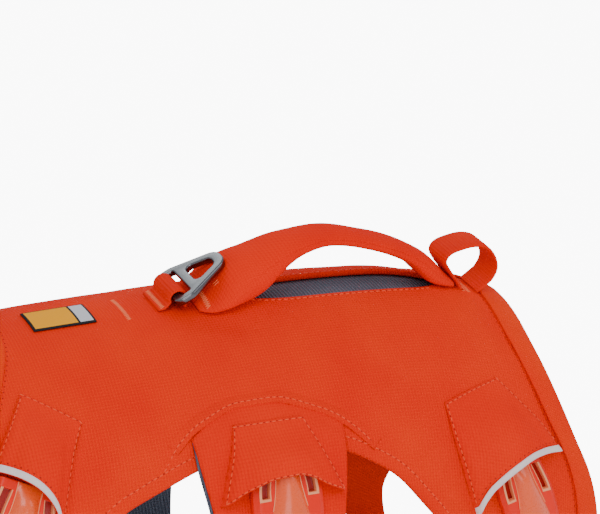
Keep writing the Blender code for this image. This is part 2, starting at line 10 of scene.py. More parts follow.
import bpy
import numpy as np
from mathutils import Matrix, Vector


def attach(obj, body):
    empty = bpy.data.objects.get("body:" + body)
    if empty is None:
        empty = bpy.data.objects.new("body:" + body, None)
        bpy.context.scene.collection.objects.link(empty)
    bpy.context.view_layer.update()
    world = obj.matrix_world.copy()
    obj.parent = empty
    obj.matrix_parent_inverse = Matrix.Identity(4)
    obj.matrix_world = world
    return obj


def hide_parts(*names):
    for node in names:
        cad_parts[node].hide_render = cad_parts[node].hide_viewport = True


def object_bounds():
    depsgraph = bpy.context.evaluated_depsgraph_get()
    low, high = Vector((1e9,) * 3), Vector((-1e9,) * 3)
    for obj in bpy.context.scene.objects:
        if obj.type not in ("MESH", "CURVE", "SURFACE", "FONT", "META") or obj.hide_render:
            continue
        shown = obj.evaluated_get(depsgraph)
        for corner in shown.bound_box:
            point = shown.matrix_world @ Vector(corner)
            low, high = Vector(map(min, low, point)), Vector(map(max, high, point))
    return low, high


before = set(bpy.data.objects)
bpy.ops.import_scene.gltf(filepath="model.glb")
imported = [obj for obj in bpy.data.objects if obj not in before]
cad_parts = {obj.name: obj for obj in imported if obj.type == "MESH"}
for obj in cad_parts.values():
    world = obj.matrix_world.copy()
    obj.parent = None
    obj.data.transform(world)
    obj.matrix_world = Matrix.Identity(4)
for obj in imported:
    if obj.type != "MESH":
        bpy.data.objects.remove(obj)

MM = 0.001
RIGHT, LEFT = -1, 1
SIDES = ((RIGHT, "right"), (LEFT, "left"))
cad_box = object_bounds()
print("the solids reach from", cad_box[0], "to", cad_box[1])

# %% [markdown]
# The camera comes first, because every proportion is compared through it. It looks at the
# wearer's right side from a little behind and above, from far enough away for the small
# perspective of a product photograph, and it leans a few degrees.

# %% The camera
AZIMUTH = math.radians(-25)
ELEVATION = math.radians(23)
LEAN = math.radians(-3)
DISTANCE = 1.28
FRAME_WIDTH = 0.27
SENSOR = 36.0
# The outside of the cloth on the spine at the origin, which lies this far to the right of the
# middle of the frame and this far below it
BACK_AT_ORIGIN = Vector((0, 0, 3.6 * MM))
RIGHT_OF_MIDDLE = 11.25 * MM
BELOW_MIDDLE = 11.25 * MM

back = Vector((
    math.sin(AZIMUTH) * math.cos(ELEVATION),
    -math.cos(AZIMUTH) * math.cos(ELEVATION),
    math.sin(ELEVATION),
))
level = Vector((math.cos(AZIMUTH), math.sin(AZIMUTH), 0))
upright = back.cross(level)
camera_right = level * math.cos(LEAN) - upright * math.sin(LEAN)
camera_up = upright * math.cos(LEAN) + level * math.sin(LEAN)
aim = BACK_AT_ORIGIN - camera_right * RIGHT_OF_MIDDLE + camera_up * BELOW_MIDDLE

camera = bpy.data.objects.new("camera", bpy.data.cameras.new("camera"))
bpy.context.collection.objects.link(camera)
camera.data.sensor_width = SENSOR
camera.data.lens = SENSOR * DISTANCE / FRAME_WIDTH
camera.location = aim + back * DISTANCE
turn = camera.matrix_world.to_3x3()
turn.col[0], turn.col[1], turn.col[2] = camera_right, camera_up, back
camera.rotation_euler = turn.to_euler()
bpy.context.scene.camera = camera
print("the lens is", round(camera.data.lens, 1), "mm")

# %% [markdown]
# A plain pale floor lies just below the harness, and big soft lights stand round it. The floor
# glows for the camera's own rays only, so it shows white and yet puts no extra light on the
# cloth. The world is white too, so the cloth is lit from every side and has no hard shadow.

# %% Floor and lights
FLOOR_GAP = 4 * MM
FLOOR_GLOW = 9.0
FLOOR_SIZE = 30
FLOOR_SHADE = 0.9
WORLD_STRENGTH = 0.66
floor_height = cad_box[0][2] - FLOOR_GAP

bpy.ops.object.select_all(action="DESELECT")
bpy.ops.mesh.primitive_plane_add(size=FLOOR_SIZE, location=(0, 0, floor_height))
floor = bpy.context.object
floor.name = "floor"
pale = bpy.data.materials.new("pale floor")
pale.use_nodes = True
pale_shader = pale.node_tree.nodes["Principled BSDF"]
pale_shader.inputs["Base Color"].default_value = (FLOOR_SHADE, FLOOR_SHADE, FLOOR_SHADE, 1)
pale_shader.inputs["Roughness"].default_value = 0.9
pale_shader.inputs["Emission Color"].default_value = (1, 1, 1, 1)
seen = pale.node_tree.nodes.new("ShaderNodeLightPath")
glow = pale.node_tree.nodes.new("ShaderNodeMath")
glow.operation = "MULTIPLY"
glow.inputs[1].default_value = FLOOR_GLOW
pale.node_tree.links.new(seen.outputs["Is Camera Ray"], glow.inputs[0])
pale.node_tree.links.new(glow.outputs[0], pale_shader.inputs["Emission Strength"])
floor.data.materials.append(pale)

world = bpy.data.worlds.new("white room")
bpy.context.scene.world = world
world.use_nodes = True
world.node_tree.nodes["Background"].inputs["Color"].default_value = (1, 1, 1, 1)
world.node_tree.nodes["Background"].inputs["Strength"].default_value = WORLD_STRENGTH


def add_light(name, place, size, power):
    """A square soft light that faces the harness."""
    light = bpy.data.objects.new(name, bpy.data.lights.new(name, "AREA"))
    bpy.context.collection.objects.link(light)
    light.data.size = size
    light.data.energy = power
    light.location = place
    light.rotation_euler = Vector(place).to_track_quat("Z", "Y").to_euler()
    return light


# name, place in metres, size in metres, power in watts
LIGHTS = (
    ("key light", (-0.7, -0.9, 1.3), 0.9, 8.6),
    ("front light", (1.0, -0.7, 0.7), 0.8, 3.2),
    ("rim light", (0.1, 1.2, 0.9), 0.8, 3.4),
    ("low fill light", (-0.1, -1.3, 0.02), 0.6, 2.6),
)
for light in LIGHTS:
    add_light(*light)
print("lights:", len(LIGHTS))

# %% [markdown]
# Cloth of a harness is cut flat and then goes round a body. So every cloth piece is laid out
# here by two measures, as on a paper pattern: x along the back, and s round the body from the
# spine. One function turns a spot of the pattern, and its lift off the body, into a point. That
# keeps every seam, stitch and crease where the cutter would mark it. Sizes are in millimetres.

# %% The form under the cloth
# x, height of the spine, half width, depth from spine to belly
FORM = (
    (-225, -4.0, 70, 138),
    (-170, -1.5, 76, 153),
    (-85, 0.7, 82, 171),
    (-25, 1.0, 83, 180),
    (25, -1.0, 80, 183),
    (51, -5.0, 76, 181),
    (72, -11.0, 72, 176),
    (93, -20.0, 67, 166),
    (119, -35.0, 59, 146),
    (145, -55.0, 46, 112),
)
ANGLE_STEPS = 120


def smooth(rows, value, column=1):
    """Reads a table on a smooth curve through its rows."""
    keys = [row[0] for row in rows]
    values = [row[column] for row in rows]
    value = min(max(value, keys[0]), keys[-1])
    last = len(keys) - 1
    index = min(max(int(np.searchsorted(keys, value)) - 1, 0), last - 1)
    step = keys[index + 1] - keys[index]
    share = (value - keys[index]) / step

    def slope(at):
        before, after = max(at - 1, 0), min(at + 1, last)
        return (values[after] - values[before]) / (keys[after] - keys[before])

    start_weight = 2 * share ** 3 - 3 * share ** 2 + 1
    return (
        start_weight * values[index]
        + (1 - start_weight) * values[index + 1]
        + (share ** 3 - 2 * share ** 2 + share) * step * slope(index)
        + (share ** 3 - share ** 2) * step * slope(index + 1)
    )


def blend(start, end, share):
    return start + (end - start) * share


def ease(share):
    share = min(max(share, 0.0), 1.0)
    return share * share * (3 - 2 * share)


def steps(count):
    return [index / count for index in range(count + 1)]


@lru_cache(maxsize=None)
def section(x):
    """The spine's height, the half width and the half depth of the form at x."""
    return smooth(FORM, x, 1), smooth(FORM, x, 2), smooth(FORM, x, 3) / 2


@lru_cache(maxsize=None)
def girth_lengths(x):
    """Lengths round the form from the spine, at equal steps of angle over one full turn."""
    _, half_width, half_depth = section(x)
    angles = np.linspace(0, 2 * math.pi, ANGLE_STEPS + 1)
    pieces = np.hypot(
        np.diff(half_width * np.sin(angles)),
        np.diff(half_depth * np.cos(angles)),
    )
    return angles, np.concatenate(([0.0], np.cumsum(pieces)))


def half_girth(x):
    return girth_lengths(round(x, 2))[1][-1] / 2


def form_point(x, s, lift):
    """The point of the pattern's spot (x, s), lifted off the body, in millimetres."""
    x = round(x, 2)
    top, half_width, half_depth = section(x)
    angles, lengths = girth_lengths(x)
    angle = math.copysign(float(np.interp(abs(s), lengths, angles)), s)
    normal = Vector((0, math.sin(angle) / half_width, math.cos(angle) / half_depth))
    normal.normalize()
    point = Vector((
        x,
        half_width * math.sin(angle),
        top - half_depth + half_depth * math.cos(angle),
    ))
    return point + normal * lift


print("widest girth:", round(2 * max(half_girth(row[0]) for row in FORM)), "mm")

# %% [markdown]
# The layers lie on each other as in the real harness: lining, saddle, then tab or cover, with a
# hair of air at each seam.

# %% Layers
SEAM = 0.3
LINING = 1.0
SADDLE = 2.0
TAB_LINING = 0.8
TAB = 1.8
COVER = 1.6
BINDING = 1.2
TRIM = 0.7
PATCH = 0.7
WEBBING = 1.5
CHEST_PAD = 4.0

SADDLE_LOW = LINING + 2 * SEAM
SADDLE_TOP = SADDLE_LOW + SADDLE
ON_SADDLE = SADDLE_TOP + SEAM
TAB_LOW = ON_SADDLE + TAB_LINING + SEAM
ON_TAB = TAB_LOW + TAB + SEAM
ON_CHEST_PAD = CHEST_PAD + SEAM
print("the saddle's outside is", SADDLE_TOP, "mm off the body")

# %% [markdown]
# The cloth is a tough nylon with a fine raised grid. Two things make that grid: ribs that stand
# a little proud, and a painted highlight that makes the colour lighter on the tops of the ribs,
# where the threads would catch the light. Both come from one repeated wave along the piece's own
# UV map, which holds the pattern in metres, so the grid follows the cloth round the body. It is a
# node group, because the shell, the covers, the webbing and the lining all use it with their own
# spacing.

# %% The weave group
# Scales of the noise that shifts the ribs, stands for the fibre and varies the tone
WANDER_SCALE, FIBRE_SCALE, TONE_SCALE = 160, 2600, 22
FIBRE_HEIGHT = 0.7
# How much the height of the ribs lightens the colour: a painted highlight on the rib tops
RIB_HIGHLIGHT = 0.22


def add_math(tree, operation, first, second=None):
    """A math node, whose inputs are sockets or plain numbers."""
    node = tree.nodes.new("ShaderNodeMath")
    node.operation = operation
    for index, value in enumerate((first, second)):
        if isinstance(value, bpy.types.NodeSocket):
            tree.links.new(value, node.inputs[index])
        elif value is not None:
            node.inputs[index].default_value = value
    return node.outputs[0]


def make_weave_group():
    """Ribs across and along a piece: their height, and a tone with a painted highlight on the rib
    tops.
    """
    group = bpy.data.node_groups.new("Woven ribs", "ShaderNodeTree")
    for name in ("Spacing across", "Spacing along", "Share across", "Share along", "Wander"):
        group.interface.new_socket(name=name, in_out="INPUT", socket_type="NodeSocketFloat")
    group.interface.new_socket(name="Height", in_out="OUTPUT", socket_type="NodeSocketFloat")
    group.interface.new_socket(name="Tone with rib highlight", in_out="OUTPUT", socket_type="NodeSocketFloat")
    inputs = group.nodes.new("NodeGroupInput").outputs
    outputs = group.nodes.new("NodeGroupOutput").inputs
    spot = group.nodes.new("ShaderNodeUVMap")
    spot.uv_map = "pattern"
    split = group.nodes.new("ShaderNodeSeparateXYZ")
    group.links.new(spot.outputs[0], split.inputs[0])
    wander = group.nodes.new("ShaderNodeTexNoise")
    wander.inputs["Scale"].default_value = WANDER_SCALE
    group.links.new(spot.outputs[0], wander.inputs["Vector"])
    shift = add_math(group, "MULTIPLY", wander.outputs[0], inputs["Wander"])
    waves = []
    for axis, spacing, share in (
        (0, "Spacing across", "Share across"),
        (1, "Spacing along", "Share along"),
    ):
        moved = add_math(group, "ADD", split.outputs[axis], shift)
        turns = add_math(group, "DIVIDE", moved, inputs[spacing])
        wave = add_math(group, "SINE", add_math(group, "MULTIPLY", turns, 2 * math.pi))
        waves.append(add_math(group, "MULTIPLY", wave, inputs[share]))
    height = add_math(group, "ADD", *waves)
    fibre = group.nodes.new("ShaderNodeTexNoise")
    fibre.inputs["Scale"].default_value = FIBRE_SCALE
    group.links.new(spot.outputs[0], fibre.inputs["Vector"])
    fuzz = add_math(group, "MULTIPLY", fibre.outputs[0], FIBRE_HEIGHT)
    rough = add_math(group, "ADD", height, fuzz)
    group.links.new(rough, outputs["Height"])
    tone = group.nodes.new("ShaderNodeTexNoise")
    tone.inputs["Scale"].default_value = TONE_SCALE
    tone.inputs["Detail"].default_value = 3
    group.links.new(spot.outputs[0], tone.inputs["Vector"])
    # Painted highlight: the colour is lighter where the ribs stand higher
    ribs = add_math(group, "MULTIPLY", rough, RIB_HIGHLIGHT)
    group.links.new(add_math(group, "ADD", ribs, tone.outputs[0]), outputs["Tone with rib highlight"])
    return group


weave_group = make_weave_group()
print("group:", weave_group.name)

# %% [markdown]
# One cloth material is made from that group for each cloth. Its colour wanders between a deeper
# and a lighter tone, as dyed nylon does, and it is lighter on the tops of the ribs as a painted
# highlight. A harness's cloth is matt, so its gloss is kept low.

# %% Cloth materials
CLOTH_SPECULAR = 0.06
# The noise values at which a cloth has its deep and its light colour
DEEP_AT, LIGHT_AT = 0.25, 0.95
RIB_WANDER = 0.2


def make_cloth_material(name, deep, light, spacing, share, depth, roughness):
    """Spacing and depth of the ribs in millimetres, and their share across and along."""
    material = bpy.data.materials.new(name)
    material.use_nodes = True
    tree = material.node_tree
    shader = tree.nodes["Principled BSDF"]
    shader.inputs["Roughness"].default_value = roughness
    shader.inputs["Specular IOR Level"].default_value = CLOTH_SPECULAR
    weave = tree.nodes.new("ShaderNodeGroup")
    weave.node_tree = weave_group
    weave.inputs["Spacing across"].default_value = spacing[0] * MM
    weave.inputs["Spacing along"].default_value = spacing[1] * MM
    weave.inputs["Share across"].default_value = share[0]
    weave.inputs["Share along"].default_value = share[1]
    weave.inputs["Wander"].default_value = RIB_WANDER * MM
    ramp = tree.nodes.new("ShaderNodeValToRGB")
    ramp.color_ramp.elements[0].position = DEEP_AT
    ramp.color_ramp.elements[0].color = (*deep, 1)
    ramp.color_ramp.elements[1].position = LIGHT_AT
    ramp.color_ramp.elements[1].color = (*light, 1)
    tree.links.new(weave.outputs["Tone with rib highlight"], ramp.inputs[0])
    tree.links.new(ramp.outputs[0], shader.inputs["Base Color"])
    bump = tree.nodes.new("ShaderNodeBump")
    bump.inputs["Distance"].default_value = depth * MM
    tree.links.new(weave.outputs["Height"], bump.inputs["Height"])
    tree.links.new(bump.outputs[0], shader.inputs["Normal"])
    return material


RIPSTOP = (1.4, 1.4)
ORANGE_DEEP = (0.84, 0.010, 0.0)
ORANGE_LIGHT = (1.0, 0.042, 0.001)
orange_cloth = make_cloth_material(
    "saddle cloth", ORANGE_DEEP, ORANGE_LIGHT, RIPSTOP, (0.6, 0.35), 0.16, 0.72,
)
cover_cloth = make_cloth_material(
    "cover cloth", (0.82, 0.008, 0.0), (1.0, 0.036, 0.001), RIPSTOP, (0.5, 0.3), 0.13, 0.72,
)
binding_cloth = make_cloth_material(
    "binding cloth", (0.86, 0.014, 0.0), (1.0, 0.060, 0.002), (1.2, 1.2), (0.4, 0.5), 0.12, 0.7,
)
handle_cloth = make_cloth_material(
    "handle cloth", (0.80, 0.006, 0.0), (1.0, 0.032, 0.001), RIPSTOP, (0.4, 0.3), 0.12, 0.75,
)
webbing_cloth = make_cloth_material(
    "webbing", (0.74, 0.008, 0.0), (0.98, 0.036, 0.001), (1.0, 1.5), (0.25, 0.4), 0.12, 0.68,
)
gray_cloth = make_cloth_material(
    "gray lining", (0.075, 0.085, 0.120), (0.180, 0.200, 0.260), (1.7, 1.1), (1.0, 0.25),
    0.22, 0.85,
)
trim_cloth = make_cloth_material(
    "pale trim", (0.78, 0.66, 0.66), (0.96, 0.84, 0.84), (0.8, 0.8), (0.2, 0.2), 0.04, 0.38,
)
cloths = (
    orange_cloth, cover_cloth, binding_cloth, handle_cloth, webbing_cloth, gray_cloth, trim_cloth,
)
print("cloth materials:", ", ".join(cloth.name for cloth in cloths))

# %% [markdown]
# Plain materials stand for thread, the painted shade of the needle holes between stitches, and
# the hardware. The thread is a shade paler than the cloth, and that of the tacks is paler still.
# The buckles are glossy plastic, and only their ridges have a thin clear coat. Their ridges and
# the rims of their windows are painted a lighter orange as a highlight, and the windows are
# painted dark red as shade. The ring is tumbled aluminium with polished edges, which are painted
# dark as a reflection. Fine speckle comes from noise in the roughness.

# %% Thread, plastic and metal
def make_plain_material(name, colour, roughness, metallic=0.0, coat=0.0, specular=0.5):
    material = bpy.data.materials.new(name)
    material.use_nodes = True
    shader = material.node_tree.nodes["Principled BSDF"]
    shader.inputs["Base Color"].default_value = (*colour, 1)
    shader.inputs["Roughness"].default_value = roughness
    shader.inputs["Metallic"].default_value = metallic
    shader.inputs["Coat Weight"].default_value = coat
    shader.inputs["Specular IOR Level"].default_value = specular
    return material


def speckle(material, scale, low, high, depth):
    """Noise on the piece's own coordinates, in the roughness and in a shallow bump."""
    tree = material.node_tree
    shader = tree.nodes["Principled BSDF"]
    spot = tree.nodes.new("ShaderNodeTexCoord")
    noise = tree.nodes.new("ShaderNodeTexNoise")
    noise.inputs["Scale"].default_value = scale
    noise.inputs["Detail"].default_value = 4
    tree.links.new(spot.outputs["Object"], noise.inputs["Vector"])
    spread = tree.nodes.new("ShaderNodeMapRange")
    spread.inputs["To Min"].default_value = low
    spread.inputs["To Max"].default_value = high
    tree.links.new(noise.outputs[0], spread.inputs["Value"])
    tree.links.new(spread.outputs[0], shader.inputs["Roughness"])
    bump = tree.nodes.new("ShaderNodeBump")
    bump.inputs["Distance"].default_value = depth * MM
    tree.links.new(noise.outputs[0], bump.inputs["Height"])
    tree.links.new(bump.outputs[0], shader.inputs["Normal"])
    return material


thread = make_plain_material("orange thread", (1.0, 0.075, 0.008), 0.6)
pale_thread = make_plain_material("pale thread", (1.0, 0.17, 0.05), 0.6)
# Painted shade: a dark mark stands for the shade in each needle hole
needle_hole_shade = make_plain_material("needle hole shade", (0.42, 0.006, 0.001), 0.9)
plastic = speckle(
    make_plain_material("buckle plastic", (0.94, 0.014, 0.0), 0.3, specular=0.25),
    900, 0.24, 0.36, 0.01,
)
# Painted shade: the floors of the buckle's windows are dark red for the shade inside them
window_shade_plastic = make_plain_material("window plastic, painted shade", (0.40, 0.004, 0.001), 0.35)
# Painted highlight: the rims and the line beside the ridge are a lighter orange where they catch
# the light
rim_highlight_plastic = make_plain_material("window rim, painted highlight", (1.0, 0.36, 0.16), 0.3)
# Painted highlight: the ridge is a lighter orange where it catches the light; its clear coat is
# real gloss
ridge_highlight_plastic = speckle(
    make_plain_material("ridge plastic, painted highlight", (1.0, 0.10, 0.010), 0.3, coat=0.4),
    900, 0.22, 0.34, 0.01,
)
aluminium = speckle(
    make_plain_material("tumbled aluminium", (0.30, 0.32, 0.34), 0.35, metallic=1.0),
    1500, 0.30, 0.46, 0.03,
)
# Painted reflection: the polished edges have a dark colour that stands for the dark reflections on
# them
polished_dark_reflection = make_plain_material("polished aluminium", (0.17, 0.17, 0.19), 0.16, metallic=1.0)
print("plain materials: thread, needle hole shade, plastic and aluminium")

# %% [markdown]
# A cloth piece is a thin wall over small cells of the pattern. It could be a plane with a
# Solidify modifier, but here the two faces are made together, so each keeps its own lift and
# the rim can be turned in softly like a folded edge. Every cloth piece also gets the pattern
# as its UV map, and the size of its cut is measured from its outer face.

# %% Making cloth
CUTS = {}
# How much of its thickness a rim is turned in by
EDGE_TURN = 0.3
# How much of a rise of the outer face the inner face follows
INNER_SHARE = 0.5
# A hair more than the flat size that the area asks for
CUT_ALLOWANCE = 1.001


def hand_in(piece, nodes=(), body="harness"):
    """Attaches a finished piece to what it rides on, and hides the solids that it stands for."""
    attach(piece, body)
    if nodes:
        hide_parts(*nodes)
    return piece


def make_mesh_object(name, points, faces, patterns, materials, face_materials=None):
    """An object from points in millimetres, with the pattern's x and s as its UV map."""
    mesh = bpy.data.meshes.new(name)
    mesh.from_pydata([point * MM for point in points], [], faces)
    uv_layer = mesh.uv_layers.new(name="pattern")
    for loop in mesh.loops:
        x, s = patterns[loop.vertex_index]
        uv_layer.data[loop.index].uv = (x * MM, s * MM)
    for material in materials:
        mesh.materials.append(material)
    if face_materials:
        for face, index in zip(mesh.polygons, face_materials):
            face.material_index = index
    mesh.shade_smooth()
    piece = bpy.data.objects.new(name, mesh)
    bpy.context.collection.objects.link(piece)
    return piece


def turned_outwards(points, faces):
    """The same faces, turned round if the closed shape would be inside out."""
    volume = 0.0
    for face in faces:
        first = points[face[0]]
        for second, third in zip(face[1:], face[2:]):
            volume += first.dot(points[second].cross(points[third]))
    if volume < 0:
        return [tuple(reversed(face)) for face in faces]
    return faces


def sweep_rings(name, rings, patterns, material):
    """A closed piece through rings of points, with a flat end on each side."""
    count = len(rings[0])
    points = [point for ring in rings for point in ring]
    faces = [tuple(range(count)), tuple(reversed(range(len(points) - count, len(points))))]
    for start in range(0, len(points) - count, count):
        for side in range(count):
            a, b = start + side, start + (side + 1) % count
            faces.append((a, a + count, b + count, b))
    return make_mesh_object(name, points, turned_outwards(points, faces), patterns, [material])


def pattern_key(x, s):
    """The same for two spots that are one on the pattern."""
    return round(x, 3), round(s, 3)


def make_cloth(name, cells, low, thickness, material, relief=None):
    """A wall over pattern cells, each of four (x, s) spots. low and relief take x and s."""
    numbers, spots, faces = {}, [], []
    for cell in cells:
        face = []
        for x, s in cell:
            key = pattern_key(x, s)
            if key not in numbers:
                numbers[key] = len(spots)
                spots.append((x, s))
            face.append(numbers[key])
        if len(set(face)) == len(face):
            faces.append(tuple(face))
    directed = {pair for face in faces for pair in zip(face, face[1:] + face[:1])}
    border = [pair for pair in directed if (pair[1], pair[0]) not in directed]
    on_border = {index for pair in border for index in pair}
    inner, outer = [], []
    for index, (x, s) in enumerate(spots):
        base = low(x, s)
        rise = relief(x, s) if relief else 0.0
        turned = EDGE_TURN * thickness if index in on_border else 0.0
        inner.append(form_point(x, s, base + max(rise, 0.0) * INNER_SHARE))
        outer.append(form_point(x, s, base + thickness + rise - turned))
    count = len(spots)
    wall = list(faces)
    wall += [tuple(count + index for index in reversed(face)) for face in faces]
    wall += [(end, start, count + start, count + end) for start, end in sorted(border)]
    points = outer + inner
    piece = make_mesh_object(name, points, turned_outwards(points, wall), spots + spots, [material])
    area = sum(piece.data.polygons[i].area for i in range(len(faces)))
    xs, ss = [x for x, _ in spots], [s for _, s in spots]
    # The cut is laid along x and s, and allows for the slope of the form
    width, length = (max(ss) - min(ss)) * MM, (max(xs) - min(xs)) * MM
    grow = max(1.0, math.sqrt(area / (width * length)) * CUT_ALLOWANCE)
    CUTS[name] = (width * grow, length * grow, area)
    return piece


def declare_sheet(piece):
    width, length, area = CUTS[piece.name]
    print(f"{piece.name}: cut {width * 1000:.0f} x {length * 1000:.0f} mm, {area * 1e4:.0f} cm2")


def grid_cells(across, along, place):
    """The cells of a grid whose place function gives x and s."""
    cells = []
    for u0, u1 in zip(across, across[1:]):
        for v0, v1 in zip(along, along[1:]):
            cells.append((place(u0, v0), place(u1, v0), place(u1, v1), place(u0, v1)))
    return cells


def constant(value):
    return lambda x, s: value


print("cloth tools are ready")

# %% [markdown]
# Sewn cloth is never quite smooth. It sinks along each line of stitches, and it gathers in
# small puckers beside them. Away from the seams it has a few long soft folds. A simulation could
# make some folds, but not where the photograph has them, so each fold is placed one by one as a
# soft ridge or trough, and one function adds them all up.

# %% Seams and soft folds
# The arch of stitches that holds the girth tab: x, s
ARCH_SEAM = (
    (-98, 79), (-89, 72), (-79, 67.6), (-70, 64.6), (-61, 64.1), (-50, 64.2), (-44, 65.5),
    (-36, 68.7), (-25.5, 73.5), (-16.6, 79.6), (-7, 89),
)
# s, x of the rear edge, the neck edge, and the seams beside them
REAR_EDGE = (
    (0, -163), (20, -166), (40, -174), (60, -183), (80, -192), (98, -199), (112, -202),
)
NECK_EDGE = (
    (0, 88), (16, 87.5), (32, 88), (46, 91), (59, 95), (72, 100.5), (84, 107.5), (97, 112),
    (112, 114), (130, 112), (148, 104),
)
NECK_BINDING_WIDTH = 12.0
REAR_BINDING_WIDTH = 8.0
# x, s of the lower edge
LOWER_EDGE = (
    (-202, 112), (-190, 121), (-175, 125), (-160, 123), (-147, 116), (-135, 106.5), (-124, 99.5),
    (-112, 94.5), (-103, 91.5), (-88, 87), (-70, 84), (-50, 83.5), (-35, 85), (-21, 88.5),
    (-6, 95.8), (4, 102.7), (15, 114.5), (28, 128.5), (42, 142.5), (60, 155), (78, 160.5),
    (94, 158), (104, 148),
)
LOWER_SEAM_INSET = 6.0
SLOT_REAR, SLOT_FRONT, SLOT_HALF_WIDTH = -46.0, 55.0, 10.0
SLOT_SEAM_INSET = 2.4
SAMPLES_PER_ROW = 12
# Spots left off at both ends of the lower edge's seam
SEAM_END_SPOTS = 4

# x, s, turn of the fold from the x direction, half length, half width, height
FOLDS = (
    (-128, 88, 60, 34, 7, -0.9),
    (-118, 78, 55, 40, 9, 0.8),
    (-150, 30, 80, 34, 10, -0.5),
    (-104, 55, 20, 30, 9, -0.4),
    (-12, 62, 30, 38, 10, 0.6),
    (12, 92, 40, 30, 8, -0.7),
    (22, 50, 70, 30, 9, -0.4),
    (84, 62, 65, 32, 5, -0.9),
    (76, 52, 68, 30, 6, 0.6),
    (78, 38, 30, 16, 4, -0.5),
    (94, 100, 75, 26, 5, -0.5),
    (-60, 24, 15, 18, 5, -0.6),
    (-98, 24, 60, 18, 6, -0.4),
    (48, 24, 120, 16, 5, -0.6),
    (-178, 92, 60, 28, 7, -0.6),
)
# How many half lengths and half widths away a fold has died out
FOLD_ENDS, FOLD_SIDES = 2, 2.5


def fold_height(x, s):
    total = 0.0
    for fold_x, fold_s, angle, half_length, half_width, height in FOLDS:
        dx, ds = x - fold_x, abs(s) - fold_s
        turn = math.radians(angle)
        along = (dx * math.cos(turn) + ds * math.sin(turn)) / half_length
        across = (ds * math.cos(turn) - dx * math.sin(turn)) / half_width
        if abs(along) < FOLD_ENDS and abs(across) < FOLD_SIDES:
            total += height * math.exp(-along * along * 1.5 - across * across)
    return total


def slot_half_width(x):
    middle = (SLOT_REAR + SLOT_FRONT) / 2
    reach = abs(x - middle) / ((SLOT_FRONT - SLOT_REAR) / 2)
    return SLOT_HALF_WIDTH * math.sqrt(max(1 - reach ** 4, 0.0))


def dense(rows, spacing=1.0):
    """Spots along a smooth curve through the rows, the same distance apart."""
    keyed = [(index, *row) for index, row in enumerate(rows)]
    keys = np.linspace(0, len(rows) - 1, SAMPLES_PER_ROW * len(rows))
    line = np.array([[smooth(keyed, key, 1), smooth(keyed, key, 2)] for key in keys])
    lengths = np.concatenate(([0], np.cumsum(np.hypot(*np.diff(line, axis=0).T))))
    marks = np.linspace(0, lengths[-1], max(int(lengths[-1] / spacing), 2))
    return [(float(np.interp(m, lengths, line[:, 0])), float(np.interp(m, lengths, line[:, 1])))
            for m in marks]


def lower_edge_seam(inset):
    """The line that runs this far inside the lower edge."""
    edge = np.array(dense(LOWER_EDGE))
    along = np.gradient(edge, axis=0)
    along /= np.linalg.norm(along, axis=1)[:, None]
    inwards = np.column_stack((along[:, 1], -along[:, 0]))
    seam = (edge + inwards * inset)[SEAM_END_SPOTS:-SEAM_END_SPOTS]
    return [tuple(spot) for spot in seam.tolist()]


SADDLE_SEAMS = [dense(ARCH_SEAM), lower_edge_seam(LOWER_SEAM_INSET)]
SEAM_SPOTS = np.array([spot for seam in SADDLE_SEAMS for spot in seam])
SEAM_SINK = 0.35
SEAM_REACH = 2.6
PUCKER_HEIGHT = 0.16
PUCKER_LENGTH = 5.2
PUCKER_FADE, PUCKER_REACH = 6.0, 14.0


def seam_height(x, s):
    """The sinking and puckering of the saddle beside its lines of stitches."""
    gaps = np.hypot(SEAM_SPOTS[:, 0] - x, SEAM_SPOTS[:, 1] - abs(s))
    nearest = int(gaps.argmin())
    gap = float(gaps[nearest])
    if gap > PUCKER_REACH:
        return 0.0
    sink = -SEAM_SINK * math.exp(-(gap / SEAM_REACH) ** 2)
    ripple = math.sin(2 * math.pi * nearest / PUCKER_LENGTH + math.sin(nearest * 0.21) * 2)
    return sink + PUCKER_HEIGHT * ripple * math.exp(-(gap / PUCKER_FADE) ** 2)


def saddle_relief(x, s):
    return fold_height(x, s) + seam_height(x, s)


print("folds placed by hand:", len(FOLDS))

# %% [markdown]
# The saddle is one shell over the back, with two lobes on each side and a lens-shaped slot
# under the handle. Both halves come from one layout, and they share their spots along the spine
# wherever the slot is not, so the cloth is whole there.

# %% Saddle and its lining
SADDLE_COLUMNS, SADDLE_ROWS = 210, 78
LINING_COLUMNS, LINING_ROWS = 90, 30
# A slot narrower than this on each side is closed
LEAST_OPENING = 0.5
# The lining ends a little inside the lower edge
LINING_REACH = 0.988


def saddle_place(u, v):
    """u runs from the rear edge to the neck edge, v from the spine to the lower edge."""
    rear_corner, neck_corner = REAR_EDGE[-1], NECK_EDGE[-1]
    rear_x = smooth(REAR_EDGE, v * rear_corner[0])
    neck_x = smooth(NECK_EDGE, v * neck_corner[0])
    x = blend(rear_x, neck_x, u)
    lower_s = smooth(LOWER_EDGE, blend(rear_corner[1], neck_corner[1], u))
    return x, v * lower_s


def saddle_cells(columns, rows, has_slot, reach=1.0):
    cells = []
    for side in (RIGHT, LEFT):
        def place(u, v):
            x, s = saddle_place(u, v * reach)
            opening = slot_half_width(x) if has_slot else 0.0
            opening = 0.0 if opening < LEAST_OPENING else opening
            return x, side * (s + opening * (1 - v) ** 2)

        for cell in grid_cells(steps(columns), steps(rows), place):
            cells.append(cell if side == LEFT else tuple(reversed(cell)))
    return cells


saddle = make_cloth(
    "saddle_shell", saddle_cells(SADDLE_COLUMNS, SADDLE_ROWS, True),
    constant(SADDLE_LOW), SADDLE, orange_cloth, saddle_relief,
)
hand_in(saddle, ["saddle"])

lining = make_cloth(
    "saddle_lining_cloth", saddle_cells(LINING_COLUMNS, LINING_ROWS, False, LINING_REACH),
    constant(0.0), LINING, gray_cloth,
)
hand_in(lining, ["saddle_lining"])
declare_sheet(lining)

